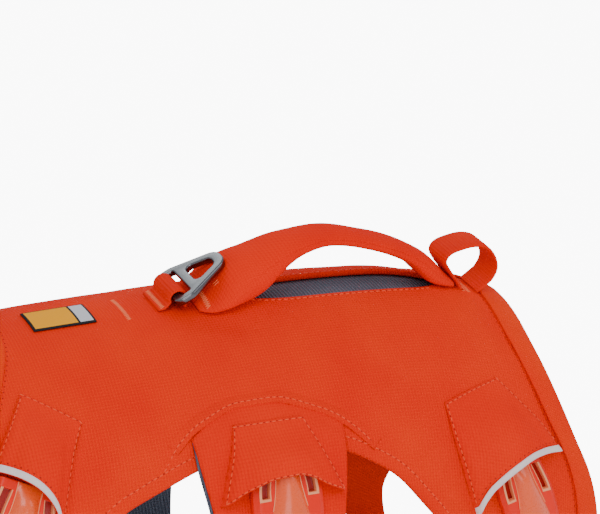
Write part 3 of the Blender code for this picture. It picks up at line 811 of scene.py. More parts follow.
# %% [markdown]
# A folded band finishes the neck edge and the rear edge. It is swept along the edge with a
# rounded profile: a flange on the saddle, and a lip that wraps the rim.

# %% Bindings
BINDING_STATIONS = 150
BINDING_LIFT = 0.1
# height and length of the small ripples along a binding
BINDING_RIPPLES = ((0.14, 3.1), (0.08, 1.27))
# the rows of the profile that lie on top and ripple
BINDING_TOP_ROWS = range(2, 6)


def add_binding(name, edge, width, front, node):
    reach = edge[-1][0] - 1.0
    low = ON_SADDLE + BINDING_LIFT
    high = low + BINDING
    # how far towards the rim from the edge, and lift, round the profile
    profile = (
        (-width, low), (-width, high - 0.5), (-width + 1.0, high - 0.1), (-width * 0.6, high),
        (-width * 0.3, high + 0.25), (0.4, high + 0.1), (1.5, high - 0.5), (2.0, high - 1.6),
        (2.0, 1.2), (1.7, 0.3), (0.9, 0.0), (0.9, low), (-width * 0.5, low),
    )
    rings, patterns = [], []
    for share in steps(BINDING_STATIONS):
        s = blend(-reach, reach, share)
        x = smooth(edge, abs(s))
        ripple = sum(height * math.sin(s / length) for height, length in BINDING_RIPPLES)
        ring = []
        for index, (shift, lift) in enumerate(profile):
            rise = ripple if index in BINDING_TOP_ROWS else 0.0
            ring.append(form_point(x + front * shift, s, lift + rise))
            patterns.append((shift + lift, s))
        rings.append(ring)
    piece = sweep_rings(name, rings, patterns, binding_cloth)
    return hand_in(piece, [node])


neck_band = add_binding("neck_band", NECK_EDGE, NECK_BINDING_WIDTH, 1, "neck_binding")
rear_band = add_binding("rear_band", REAR_EDGE, REAR_BINDING_WIDTH, -1, "rear_binding")
print("bands:", neck_band.name, rear_band.name)

# %% [markdown]
# A wide tab is sewn under the arch on each side and runs down to the chest. It is an orange
# face on a gray lining, and the lining stands out a hair at the rear edge.

# %% Girth tabs
# x of its sewn top edge, s
TAB_TOP = (
    (-91, 74), (-79, 67.6), (-70, 64.6), (-61, 64.0), (-50, 64.4), (-36, 68.7), (-25.5, 73.5),
    (-20, 77),
)
# s, x of the rear edge, x of the front edge
TAB_EDGES = (
    (62, -91, -20), (75, -90.4, -20.5), (90, -88.6, -22), (109, -85.1, -24.5), (140, -81, -29),
    (172, -77, -38), (205, -73, -45),
)
TAB_END = 205.0
# Under the arch the tab is tucked down and its relief is pressed, over this length
TAB_TUCK_LENGTH, TAB_TUCK_DROP, TAB_TUCK_PRESS = 10.0, 1.1, 0.7
TAB_RIPPLE = 0.35
TAB_LINING_TOP = 0.012
# How far the lining stands out at the rear edge, and how soon it does so below its top
LINING_PROUD, LINING_PROUD_GROWTH = 1.1, 8
TAB_COLUMNS, TAB_ROWS = 44, 90
TAB_LINING_COLUMNS, TAB_LINING_ROWS = 14, 40


def tab_place(side, u, v, proud=0.0):
    top = smooth(TAB_TOP, blend(TAB_TOP[0][0], TAB_TOP[-1][0], u))
    s = blend(top, TAB_END, v)
    rear = smooth(TAB_EDGES, s, 1) - proud * ease(v * LINING_PROUD_GROWTH)
    return blend(rear, smooth(TAB_EDGES, s, 2), u), side * s


def oriented(cells, side):
    """Cells whose outer face looks away from the body on either side."""
    return cells if side == LEFT else [tuple(reversed(cell)) for cell in cells]


for side, side_name in SIDES:
    def place(u, v):
        return tab_place(side, u, v)

    def place_lining(u, v):
        return tab_place(side, u, blend(TAB_LINING_TOP, 1.0, v), LINING_PROUD)

    def below_arch(x, s):
        """From 1 at the sewn top edge to 0 a little way down."""
        return 1 - ease((abs(s) - smooth(TAB_TOP, x)) / TAB_TUCK_LENGTH)

    def tab_low(x, s):
        return TAB_LOW - TAB_TUCK_DROP * below_arch(x, s)

    def tab_relief(x, s):
        ripple = TAB_RIPPLE * math.sin(abs(s) / 11 + x / 17) * math.sin(x / 12)
        return ripple * (1 - below_arch(x, s)) - TAB_TUCK_PRESS * below_arch(x, s)

    tab_cells = grid_cells(steps(TAB_COLUMNS), steps(TAB_ROWS), place)
    tab = make_cloth(
        f"girth_tab_face_{side_name}", oriented(tab_cells, side), tab_low, TAB, cover_cloth,
        tab_relief,
    )
    hand_in(tab, [f"girth_tab_{side_name}"])
    declare_sheet(tab)
    lining_cells = grid_cells(steps(TAB_LINING_COLUMNS), steps(TAB_LINING_ROWS), place_lining)
    tab_lining = make_cloth(
        f"girth_tab_backing_{side_name}", oriented(lining_cells, side), constant(ON_SADDLE),
        TAB_LINING, gray_cloth,
    )
    hand_in(tab_lining, [f"girth_tab_lining_{side_name}"])
    declare_sheet(tab_lining)

# %% [markdown]
# A cover is sewn down at its top and both sides and stands open at its mouth, like a hood over
# the buckle. It rises from flat at its top to full height at the mouth. The rear and front
# covers have a pale reflective edge, and the girth cover has a plain one.

# %% Covers over the buckles
# down the cover from 0 to 1, x and s of the rear edge, x and s of the front edge
REAR_COVER = (
    (0.0, -158, 42, -135.5, 59),
    (0.5, -168, 57, -144.5, 76),
    (1.0, -179, 71.5, -154, 104),
)
GIRTH_COVER = (
    (0.0, -72.2, 71.9, -40.2, 72.2),
    (0.33, -75.0, 82, -36.0, 82),
    (0.66, -79.0, 92, -31.0, 93),
    (1.0, -83.0, 103, -25.5, 104),
)
FRONT_COVER = (
    (0.0, 31.0, 71.5, 61.5, 57.5),
    (0.33, 32.8, 87, 71, 65.5),
    (0.66, 36.6, 103.5, 81.5, 73),
    (1.0, 41.5, 120, 92, 81.3),
)
# across the mouth from 0 to 1, how far its edge is cut back up
REAR_MOUTH = ((0.0, 0), (0.25, 4.5), (0.5, 7), (0.75, 6), (1.0, 0))
GIRTH_MOUTH = (
    (0.0, 0), (0.1, 3.2), (0.2, 5.6), (0.35, 8.2), (0.5, 8.8), (0.6, 8.8), (0.7, 7.2),
    (0.8, 4.3), (0.9, 2.0), (1.0, 0),
)
FRONT_MOUTH = (
    (0.0, 0), (0.08, 4.0), (0.2, 6.8), (0.35, 7.6), (0.5, 7.2), (0.65, 6.2), (0.8, 4.0),
    (0.9, 2.0), (1.0, 0),
)
COVER_RISE = 9.4
# How squarely a cover rises from its sides, and by what share of its length it is up
COVER_SHOULDER = 0.45
COVER_UP_BY = 0.7
TRIM_WIDTH = 3.2
EDGE_PRESS, EDGE_PRESS_REACH = 0.85, 1.7
# Depth of the folds beside the sewn edges, and their place and half width across the cover
COVER_FOLD, COVER_FOLD_AT, COVER_FOLD_HALF = 0.9, 0.16, 0.07
COVER_DRAG = 0.5


class Cover:
    """The layout of one cover: u goes across it and v down it, from 0 to 1."""

    def __init__(self, rows, mouth, base, side):
        self.rows, self.mouth, self.base, self.side = rows, mouth, base, side
        chord = Vector((rows[-1][3] - rows[-1][1], rows[-1][4] - rows[-1][2]))
        self.up = Vector((chord.y, -chord.x)).normalized()
        self.width = chord.length
        self.length = math.hypot(
            (rows[-1][1] + rows[-1][3] - rows[0][1] - rows[0][3]) / 2,
            (rows[-1][2] + rows[-1][4] - rows[0][2] - rows[0][4]) / 2,
        )

    def place(self, u, v):
        x = blend(smooth(self.rows, v, 1), smooth(self.rows, v, 3), u)
        s = blend(smooth(self.rows, v, 2), smooth(self.rows, v, 4), u)
        cut_back = smooth(self.mouth, u) * v ** 2
        return x + self.up.x * cut_back, self.side * (s + self.up.y * cut_back)

    def low(self, u, v):
        dome = math.sin(math.pi * min(max(u, 0.0), 1.0)) ** COVER_SHOULDER
        return self.base + COVER_RISE * dome * ease(v / COVER_UP_BY)

    def relief(self, u, v):
        """Soft folds that run down from the sewn corners, and the edge pressed flat by its seam."""
        from_edge = min(u, 1 - u)
        from_fold = (from_edge - COVER_FOLD_AT) / COVER_FOLD_HALF
        fold = -COVER_FOLD * math.exp(-from_fold ** 2) * ease(v * 1.6)
        drag = COVER_DRAG * math.sin(7 * u + 5 * v) * math.sin(math.pi * u) * v
        to_seam = min(from_edge * self.width, v * self.length)
        return fold + drag - EDGE_PRESS * math.exp(-(to_seam / EDGE_PRESS_REACH) ** 2)


print("covers rise", COVER_RISE, "mm at their mouths")

# %% [markdown]
# A cover and its pale edge are walls over the same layout. They could be cut from one grid, but
# the edge is a band of its own, sewn on top of the mouth, so it is made as one.

# %% The covers and their pale edges
COVER_COLUMNS, COVER_ROWS, TRIM_ROWS = 44, 56, 4


def add_cover_piece(name, cover, rows, material, lift, thickness):
    """A wall that lies on a cover, over the given rows down it."""
    lifts = {}

    def place(u, v):
        x, s = cover.place(u, v)
        lifts[pattern_key(x, s)] = (cover.low(u, v) + lift, cover.relief(u, v))
        return x, s

    cells = oriented(grid_cells(steps(COVER_COLUMNS), rows, place), cover.side)
    return make_cloth(
        name, cells, lambda x, s: lifts[pattern_key(x, s)][0], thickness, material,
        lambda x, s: lifts[pattern_key(x, s)][1],
    )


COVERS = {}
for side, side_name in SIDES:
    for place_name, rows, mouth, base, has_trim in (
        ("rear", REAR_COVER, REAR_MOUTH, ON_SADDLE, True),
        ("girth", GIRTH_COVER, GIRTH_MOUTH, ON_TAB, False),
        ("front", FRONT_COVER, FRONT_MOUTH, ON_SADDLE, True),
    ):
        cover = Cover(rows, mouth, base, side)
        COVERS[place_name, side_name] = cover
        piece = add_cover_piece(
            f"{place_name}_cover_cloth_{side_name}", cover, steps(COVER_ROWS), cover_cloth,
            0.0, COVER,
        )
        hand_in(piece, [f"{place_name}_cover_{side_name}"])
        if has_trim:
            start = 1 - TRIM_WIDTH / cover.length
            trim = add_cover_piece(
                f"{place_name}_trim_band_{side_name}", cover,
                [blend(start, 1.0, share) for share in steps(TRIM_ROWS)], trim_cloth,
                COVER + SEAM, TRIM,
            )
            hand_in(trim, [f"{place_name}_trim_{side_name}"])
        declare_sheet(piece)

# %% [markdown]
# The handle is a padded tube with a rolled seam along each side, flat at both feet and round
# where the hand goes. A curve with a bevel would keep one profile, so the tube is swept here
# through sections that change, and the seam is a groove a little above its widest line.

# %% Handle
# x, gap under it, width, thickness
HANDLE = (
    (-67, 0.35, 30, 2.8),
    (-62, 0.35, 37, 4.5),
    (-56, 0.4, 40, 9.5),
    (-50, 0.5, 39, 15.0),
    (-44, 0.9, 36, 17.5),
    (-38, 3.2, 33, 17.0),
    (-32, 8.0, 30, 14.0),
    (-25, 13.6, 27, 10.4),
    (-17, 17.8, 24, 7.6),
    (-6, 20.2, 21, 6.4),
    (4, 19.7, 20, 6.2),
    (16, 17.2, 20, 6.2),
    (28, 13.8, 21, 6.4),
    (39, 9.4, 22, 7.2),
    (46, 4.2, 23, 9.3),
    (51, 0.9, 24, 9.0),
    (56, 0.45, 23, 5.8),
    (61, 0.4, 19, 3.0),
)
HANDLE_STATIONS = 170
HANDLE_AROUND = 64
HANDLE_ROUNDNESS = 0.8
BACK_RADIUS = 76.0
SEAM_ANGLE = math.radians(16)
SEAM_SPREAD = math.radians(5.5)
SEAM_GROOVE = 0.75
# Where the rolled seam starts and ends, and over what length it grows
GRIP_REAR, GRIP_REAR_GROWTH = -66.0, 14.0
GRIP_FRONT, GRIP_FRONT_GROWTH = 60.0, 10.0
# The short crease where the handle bends down to its front foot: x, across, depth
BEND_MARK = (37.0, -4.0, 0.7)
BEND_LEAN, BEND_HALF_WIDTH, BEND_HALF_LENGTH = 0.7, 1.1, 5
HANDLE_RIPPLE = 0.12
SLOPE_STEP = 0.01


def handle_middle(share):
    x = blend(HANDLE[0][0], HANDLE[-1][0], share)
    thickness = smooth(HANDLE, x, 3)
    height = section(round(x, 2))[0] + SADDLE_TOP + smooth(HANDLE, x, 1) + thickness / 2
    return Vector((x, 0, height)), smooth(HANDLE, x, 2), thickness


rings, patterns = [], []
for share in steps(HANDLE_STATIONS):
    middle, width, thickness = handle_middle(share)
    before = handle_middle(max(share - SLOPE_STEP, 0))[0]
    after = handle_middle(min(share + SLOPE_STEP, 1))[0]
    along = (after - before).normalized()
    upwards = Vector((-along.z, 0, along.x))
    grip = ease((middle.x - GRIP_REAR) / GRIP_REAR_GROWTH)
    grip *= ease((GRIP_FRONT - middle.x) / GRIP_FRONT_GROWTH)
    ring = []
    for side in range(HANDLE_AROUND):
        angle = 2 * math.pi * side / HANDLE_AROUND
        cosine, sine = math.cos(angle), math.sin(angle)
        from_seam = math.atan2(sine, abs(cosine)) - SEAM_ANGLE
        groove = SEAM_GROOVE * grip * math.exp(-(from_seam / SEAM_SPREAD) ** 2)
        across = width / 2 * math.copysign(abs(cosine) ** HANDLE_ROUNDNESS, cosine)
        height = thickness / 2 * math.copysign(abs(sine) ** HANDLE_ROUNDNESS, sine)
        across -= groove * cosine
        height -= groove * sine + across ** 2 / (2 * BACK_RADIUS)
        if sine > 0:
            mark_x, mark_across, mark_depth = BEND_MARK
            aside = across - mark_across
            lean = (middle.x - mark_x + BEND_LEAN * aside) / BEND_HALF_WIDTH
            height -= mark_depth * math.exp(-lean ** 2 - (aside / BEND_HALF_LENGTH) ** 2)
            height += HANDLE_RIPPLE * math.sin(middle.x / 4.3 + across / 5) * grip
        ring.append(middle + Vector((0, across, 0)) + upwards * height)
        patterns.append((middle.x, angle * (width + thickness) / 4))
    rings.append(ring)
handle = sweep_rings("padded_handle", rings, patterns, handle_cloth)
hand_in(handle, ["handle"])
print("handle stations:", len(rings))

# %% [markdown]
# Over each tab the saddle's edge is folded under and sewn down along an arch, so it stands up
# as a soft raised lip. A cut in the shell would need its own hem, so the lip is a thin band
# with a rounded profile that is swept along the arch and runs out into the cloth above it.

# %% Folded edge of the arch
ARCH_REAR, ARCH_FRONT, ARCH_FADE = -91.0, -20.0, 8.0
LIP_OVER_TAB, LIP_BEYOND = 1.9, 0.8
LIP_END_LENGTH = 9.0
LIP_SPACING = 1.2
arch_line = np.array(dense(ARCH_SEAM, LIP_SPACING))
arch_slopes = np.gradient(arch_line, axis=0)
arch_slopes /= np.linalg.norm(arch_slopes, axis=1)[:, None]


def arch_spot(index, shift):
    """The spot this far up the saddle from the arch's line."""
    (x, s), (dx, ds) = arch_line[index].tolist(), arch_slopes[index].tolist()
    return x + ds * shift, s - dx * shift


def lip_profile(x):
    """Shift up the saddle and lift, round the lip, starting at its lower edge."""
    over_tab = ease((x - ARCH_REAR) / ARCH_FADE + 0.5) * ease((ARCH_FRONT - x) / ARCH_FADE + 0.5)
    to_end = min(x - ARCH_SEAM[0][0], ARCH_SEAM[-1][0] - x)
    top = SADDLE_TOP + blend(LIP_BEYOND, LIP_OVER_TAB, over_tab) * ease(to_end / LIP_END_LENGTH)
    middle = (top + SADDLE_TOP) / 2
    return (
        (-0.5, SADDLE_TOP - 0.1), (-0.75, middle), (-0.3, top - 0.05), (0.5, top + 0.1),
        (1.1, top + 0.08), (1.7, top - 0.12), (2.3, top - 0.1), (3.4, middle + 0.15),
        (4.8, SADDLE_TOP + 0.12), (6.0, SADDLE_TOP - 0.2), (6.0, SADDLE_TOP - 0.8),
        (0.4, SADDLE_TOP - 0.8),
    )


def relief_on_lip(x, s, shift):
    """The saddle's relief, less of it towards the lip's free edge."""
    return saddle_relief(x, s) * ease(shift / 4 + 0.4)


for side, side_name in SIDES:
    rings, patterns = [], []
    for index in range(len(arch_line)):
        ring = []
        for shift, lift in lip_profile(arch_line[index][0]):
            x, s = arch_spot(index, shift)
            ring.append(form_point(x, side * s, lift + relief_on_lip(x, s, shift)))
            patterns.append((x, side * s))
        rings.append(ring)
    lip = sweep_rings(f"arch_lip_{side_name}", rings, patterns, orange_cloth)
    hand_in(lip)
declare_sheet(saddle)
print("spots along each arch:", len(arch_line))

# %% [markdown]
# All the webbing is one kind: flat, with round edges and fine ribs across it. It is swept along
# its route with one profile, and the ribs of the two short loops are real, because they are
# seen from close by. The leash loop holds the ring, and the front loop stands along the spine.

# %% Webbing loops
RIB_SPACING = 1.05
RIB_HEIGHT = 0.06
RIBBED_SHARE = 0.95
SPOTS_PER_RIB = 8
# share of half the width, how far the face is drawn in there
WEBBING_EDGE = ((-1, 0.75), (-0.97, 0.36), (-0.91, 0.1), (-0.5, 0.0), (0, 0.0), (0.5, 0.0),
                (0.91, 0.1), (0.97, 0.36), (1, 0.75))
PIVOT = Vector((-75.0, 0, 9.4))
LOOP_RADIUS = 3.1
LOOP_START, LOOP_END, LOOP_STEPS = 200, -20, 14
LEASH_TAIL, LEASH_TAIL_SEWN, LEASH_TAIL_BEND = 9.0, 1.2, 3.2
LEASH_FOOT_STEP = 0.2
LEASH_WEBBING_WIDTH = 20.0
# x, z
FRONT_LOOP = (
    (65.0, -4.7), (62.6, -0.6), (58.6, 4.8), (56.2, 9.4), (58.2, 13.0), (64.0, 14.9), (71.0, 15.6),
    (77.2, 13.8), (81.4, 8.8), (82.8, 3.0), (80.6, -2.0), (77.2, -4.8), (73.5, -7.4),
)
FRONT_LOOP_WIDTH = 18.0


def add_webbing(name, alongs, place, width, node, rib_height=0.0):
    """Webbing whose place function takes a distance along it, across it and a height in it."""
    profile = [(share * width / 2, WEBBING - drop, 1) for share, drop in WEBBING_EDGE]
    profile += [(share * width / 2, drop, -1) for share, drop in reversed(WEBBING_EDGE[1:-1])]
    rings, patterns = [], []
    for along in alongs:
        rib = rib_height * math.sin(2 * math.pi * along / RIB_SPACING)
        ring = []
        for across, height, face in profile:
            on_face = rib if abs(across) < RIBBED_SHARE * width / 2 else 0.0
            ring.append(place(along, across, height + face * on_face))
            patterns.append((across, along))
        rings.append(ring)
    piece = sweep_rings(name, rings, patterns, webbing_cloth)
    return hand_in(piece, [node])


def add_spine_webbing(name, spots, width, node):
    """Webbing whose middle runs through spots (x, z) in the plane of the spine."""
    spacing = RIB_SPACING / SPOTS_PER_RIB
    line = np.array(dense(spots, spacing))
    slopes = np.gradient(line, axis=0)
    slopes /= np.linalg.norm(slopes, axis=1)[:, None]

    def place(along, across, height):
        index = round(along / spacing)
        (x, z), (dx, dz) = line[index].tolist(), slopes[index].tolist()
        offset = height - WEBBING / 2
        point = Vector((x - dz * offset, across, z + dx * offset))
        point.z = max(point.z, form_point(point.x, across, ON_SADDLE).z)
        return point

    alongs = [index * spacing for index in range(len(line))]
    piece = add_webbing(name, alongs, place, width, node, RIB_HEIGHT)
    print(f"{name}: {alongs[-1]:.0f} mm long, {width:.0f} mm wide")
    return piece


tail_x = PIVOT.x - LEASH_TAIL
on_back = section(tail_x)[0] + ON_SADDLE + WEBBING / 2
leash_spots = [
    (tail_x, on_back), (tail_x + LEASH_TAIL_SEWN, on_back),
    (tail_x + LEASH_TAIL_BEND, on_back + WEBBING / 3),
]
for share in steps(LOOP_STEPS):
    angle = math.radians(blend(LOOP_START, LOOP_END, share))
    reach = LOOP_RADIUS + WEBBING / 2
    leash_spots.append((PIVOT.x + reach * math.cos(angle), PIVOT.z + reach * math.sin(angle)))
foot_x = leash_spots[-1][0] - LEASH_FOOT_STEP
leash_spots.append((foot_x, section(round(foot_x, 2))[0] + ON_SADDLE + WEBBING / 4))
add_spine_webbing("leash_strap", leash_spots, LEASH_WEBBING_WIDTH, "leash_webbing")
add_spine_webbing("front_webbing_loop", FRONT_LOOP, FRONT_LOOP_WIDTH, "front_loop")

# %% [markdown]
# The ring is a stamped plate with a slot for the webbing and an eye for the leash. A flat curve
# with two holes gives the plate its outline, and the curve's bevel rounds all its edges alike.
# It becomes a mesh, and its edges get the polished metal, painted dark as a reflection, and its
# faces the tumbled one.

# %% Leash ring
RING_ANGLE = math.radians(28.7)
RING_THICKNESS = 3.2
RING_BEVEL = 0.75
# along from the pivot, across, corner radius
RING_OUTLINE = (
    (-2.2, 14.5, 4.0), (6.0, 14.5, 6.0), (27.5, 5.5, 6.5), (27.5, -5.5, 6.5),
    (6.0, -14.5, 6.0), (-2.2, -14.5, 4.0),
)
RING_SLOT = ((2.2, 10.8, 1.2), (6.8, 10.8, 1.2), (6.8, -10.8, 1.2), (2.2, -10.8, 1.2))
RING_EYE = ((11.2, 7.8, 2.5), (22.8, 3.2, 3.6), (22.8, -3.2, 3.6), (11.2, -7.8, 2.5))
ROUND_STEPS = 12
BEVEL_STEPS = 4
# A face this level belongs to the flat of the plate
FLAT_FACE = 0.97
MERGE_GAP = 0.00001
RING_SMOOTH_ANGLE = math.radians(40)


def rounded(corners):
    """A closed outline whose corners are arcs."""
    outline = []
    for index, (p, q, radius) in enumerate(corners):
        corner = Vector((p, q))
        to_last = (Vector(corners[index - 1][:2]) - corner).normalized()
        to_next = (Vector(corners[(index + 1) % len(corners)][:2]) - corner).normalized()
        half_angle = to_last.angle(to_next) / 2
        centre = corner + (to_last + to_next).normalized() * (radius / math.sin(half_angle))
        start = corner + to_last * (radius / math.tan(half_angle)) - centre
        end = corner + to_next * (radius / math.tan(half_angle)) - centre
        turn = start.angle_signed(end)
        for share in steps(ROUND_STEPS):
            angle = -turn * share
            outline.append(centre + Vector((
                start.x * math.cos(angle) - start.y * math.sin(angle),
                start.x * math.sin(angle) + start.y * math.cos(angle),
            )))
    return outline


plate_curve = bpy.data.curves.new("ring outline", "CURVE")
plate_curve.dimensions = "2D"
plate_curve.fill_mode = "BOTH"
for corners in (RING_OUTLINE, RING_SLOT, RING_EYE):
    outline = rounded(corners)
    spline = plate_curve.splines.new("POLY")
    spline.points.add(len(outline) - 1)
    for spot, place in zip(spline.points, outline):
        spot.co = (place.x * MM, place.y * MM, 0, 1)
    spline.use_cyclic_u = True
plate_curve.bevel_depth = RING_BEVEL * MM
plate_curve.bevel_resolution = BEVEL_STEPS
plate_curve.offset = -RING_BEVEL * MM
plate_curve.extrude = (RING_THICKNESS / 2 - RING_BEVEL) * MM
ring = bpy.data.objects.new("plate_ring", plate_curve)
bpy.context.collection.objects.link(ring)
bpy.ops.object.select_all(action="DESELECT")
ring.select_set(True)
bpy.context.view_layer.objects.active = ring
bpy.ops.object.convert(target="MESH")
ring = bpy.context.object
ring_along = Vector((math.cos(RING_ANGLE), 0, math.sin(RING_ANGLE)))
ring_upright = Vector((-ring_along.z, 0, ring_along.x))
ring.data.materials.clear()
ring.data.materials.append(aluminium)
ring.data.materials.append(polished_dark_reflection)
for face in ring.data.polygons:
    face.material_index = 0 if abs(face.normal.z) > FLAT_FACE else 1
for vertex in ring.data.vertices:
    spot = vertex.co.copy()
    vertex.co = PIVOT * MM + ring_along * spot.x + Vector((0, spot.y, 0)) + ring_upright * spot.z
bpy.ops.object.mode_set(mode="EDIT")
bpy.ops.mesh.select_all(action="SELECT")
bpy.ops.mesh.remove_doubles(threshold=MERGE_GAP)
bpy.ops.mesh.normals_make_consistent(inside=False)
bpy.ops.object.mode_set(mode="OBJECT")
bpy.ops.object.shade_smooth_by_angle(angle=RING_SMOOTH_ANGLE)
hand_in(ring, ["v_ring"], "ring")
print("ring faces:", len(ring.data.polygons))

# %% [markdown]
# Each strap leaves the mouth of its cover, goes through its buckle and runs round to the chest
# pad. A route gives its middle line on the pattern, and everything on the strap is placed by
# how far along the route it is and how far across.

# %% Routes and straps
# x, s; the second row is at the mouth of the cover
REAR_ROUTE = ((-154, 61), (-166.7, 86), (-177, 110), (-187.5, 137), (-195, 168), (-198, 200))
GIRTH_ROUTE = ((-53.5, 72), (-53.5, 94), (-53.5, 126), (-54, 165), (-56, 205), (-57, 235))
FRONT_ROUTE = (
    (55, 77), (65.5, 98.5), (74, 119), (75, 138), (67, 156), (60, 174), (59, 206), (58, 232),
)
STRAP_WIDTH = 20.0
STRAP_END_TO_BELLY_LINE = 15.0
STRAP_SETTLE_LENGTH = 25.0
STRAP_STATIONS = 90
ROUTE_SAMPLES = 8
# How far a route runs on past its last row, as a share of its last step
ROUTE_RUN_ON = 0.4
# Ends of a buckle's housing along its route; its strap starts a little beyond
HOUSING_TOP, HOUSING_END = -6.5, 21.0
STRAP_START = HOUSING_END + 1.5
# name, route, the lift it starts at, how far along it starts to settle on the body
STRAPS = (
    ("rear", REAR_ROUTE, ON_SADDLE + SEAM, 45.0),
    ("girth", GIRTH_ROUTE, ON_TAB + SEAM, 111.0),
    ("front", FRONT_ROUTE, ON_SADDLE + SEAM, 62.0),
)


class Route:
    """A strap's middle line on the form, measured along from the mouth of its cover."""

    def __init__(self, rows, side, base, settled_after):
        self.side, self.base, self.settled_after = side, base, settled_after
        last_x = rows[-1][0] + ROUTE_RUN_ON * (rows[-1][0] - rows[-2][0])
        end = (last_x, half_girth(last_x) - STRAP_END_TO_BELLY_LINE)
        corners = list(rows) + [end]
        keyed = [(index, x, s) for index, (x, s) in enumerate(corners)]
        count = ROUTE_SAMPLES * (len(corners) - 1)
        keys = [index / ROUTE_SAMPLES for index in range(count + 1)]
        line = [(smooth(keyed, key, 1), smooth(keyed, key, 2)) for key in keys]
        lengths = [0.0]
        for (x0, s0), (x1, s1) in zip(line, line[1:]):
            lengths.append(lengths[-1] + math.hypot(x1 - x0, s1 - s0))
        at_mouth = lengths[ROUTE_SAMPLES]
        self.rows = [(length - at_mouth, x, s) for length, (x, s) in zip(lengths, line)]
        self.length = self.rows[-1][0]

    def spot(self, along, across):
        x, s = smooth(self.rows, along, 1), smooth(self.rows, along, 2)
        dx = smooth(self.rows, along + 1, 1) - smooth(self.rows, along - 1, 1)
        ds = smooth(self.rows, along + 1, 2) - smooth(self.rows, along - 1, 2)
        length = math.hypot(dx, ds)
        return x + across * ds / length, self.side * (s - across * dx / length)

    def on_strap(self, along, across, height):
        """A point of the strap, which settles from its buckle onto the chest pad."""
        share = ease((along - self.settled_after) / STRAP_SETTLE_LENGTH)
        return form_point(*self.spot(along, across), blend(self.base, ON_CHEST_PAD, share) + height)

    def on_buckle(self, along, across, height):
        return form_point(*self.spot(along, across), self.base + height)


ROUTES = {}
for side, side_name in SIDES:
    for strap_name, rows, base, settled_after in STRAPS:
        route = Route(rows, side, base, settled_after)
        ROUTES[strap_name, side_name] = route
        add_webbing(
            f"{strap_name}_webbing_{side_name}",
            [blend(STRAP_START, route.length, share) for share in steps(STRAP_STATIONS)],
            route.on_strap, STRAP_WIDTH, f"{strap_name}_strap_{side_name}",
        )
        if side == RIGHT:
            length = route.length - STRAP_START
            print(f"{strap_name} strap: {length:.0f} mm long, {STRAP_WIDTH:.0f} mm wide")

# %% [markdown]
# A side-release buckle has a housing and a plug. The housing is one glossy shell: a broad ridge
# down its middle that flares towards the plug, and a wing on each side with a window for the
# latch, whose outer and lower rims stand up. The ridge, a thin line beside it and the rims are
# painted a lighter orange as a highlight where they catch the light, and the windows are painted
# dark red as the shade inside them. Its top is a grid of lines that follow the flare, and their
# places and heights are worked out first.

# %% Lines and heights of a housing
# From the middle outwards, the zones of one half and how many columns each has
ON_RIDGE, RIDGE_LINE, PLATE, INNER_RIM, OVER_WINDOW, OUTER_RIM, WING_EDGE = range(7)
HOUSING_COLUMNS_IN_ZONE = (8, 1, 3, 1, 5, 2, 3)
HOUSING_ROWS = 55
HOUSING_HALF = 16.0
HOUSING_NARROW_END = 0.88
HOUSING_FLARE_LENGTH = 14.0
# Half width of the ridge at its narrow end, its growth, from where, over what length, and power
RIDGE_HALF, RIDGE_GROWTH = 5.2, 5.4
RIDGE_GROWS_FROM, RIDGE_GROWS_OVER, RIDGE_FLARE = -2.0, 23.0, 1.7
RIDGE_LINE_WIDTH = 0.45
# How far in from the wing's edge lie both edges of the inner rim and of the outer rim
RIM_INSETS = (7.6, 7.1, 3.4, 2.2)
LEAST_ZONE_WIDTH = 0.4
WING_HEIGHT = 4.6
RIDGE_HEIGHT = 3.3
RIDGE_CROWN = 0.7
# Where the ridge starts to rise, and over what length
RIDGE_RISES_FROM, RIDGE_RISES_OVER = -8.0, 10.0
# Share of its height that a wing loses at its rounded edge, and over what width
WING_EDGE_DROP, WING_EDGE_WIDTH = 0.35, 2.5
HOUSING_END_DROP, HOUSING_END_LENGTH = 0.8, 2.0


def housing_lines(along):
    """Where the lines along the housing cross this place, from one side to the other."""
    share = ease((along - HOUSING_TOP) / HOUSING_FLARE_LENGTH)
    side = HOUSING_HALF * blend(HOUSING_NARROW_END, 1.0, share)
    grown = max((along - RIDGE_GROWS_FROM) / RIDGE_GROWS_OVER, 0) ** RIDGE_FLARE
    ridge = RIDGE_HALF + RIDGE_GROWTH * grown
    edges = [0, ridge, ridge + RIDGE_LINE_WIDTH]
    for inset in RIM_INSETS:
        edges.append(max(side - inset, edges[-1] + LEAST_ZONE_WIDTH))
    edges.append(side)
    half = []
    for start, end, count in zip(edges, edges[1:], HOUSING_COLUMNS_IN_ZONE):
        half += [blend(start, end, step / count) for step in range(count)]
    half.append(side)
    return [-across for across in reversed(half[1:])] + half, ridge, side


def housing_height(across, along, ridge, side):
    crown = math.cos(math.pi / 2 * min(abs(across) / ridge, 1.0)) ** RIDGE_CROWN
    growth = ease((along - RIDGE_RISES_FROM) / RIDGE_RISES_OVER)
    edge = WING_EDGE_DROP * ease(1 - (side - abs(across)) / WING_EDGE_WIDTH)
    end = HOUSING_END_DROP * ease((along - HOUSING_END + HOUSING_END_LENGTH) / HOUSING_END_LENGTH)
    return WING_HEIGHT * (1 - edge) + RIDGE_HEIGHT * crown * growth - end


print("lines along a housing:", len(housing_lines(HOUSING_TOP)[0]))

# %% [markdown]
# Two steps come back in both halves of a buckle. Some faces are selected by their material, to
# be extruded or cut away, and at the end the edges are rounded and shaded.

# %% Steps for hard pieces
ROUND_EDGE_ANGLE = math.radians(38)
PLASTIC_SMOOTH_ANGLE = math.radians(35)


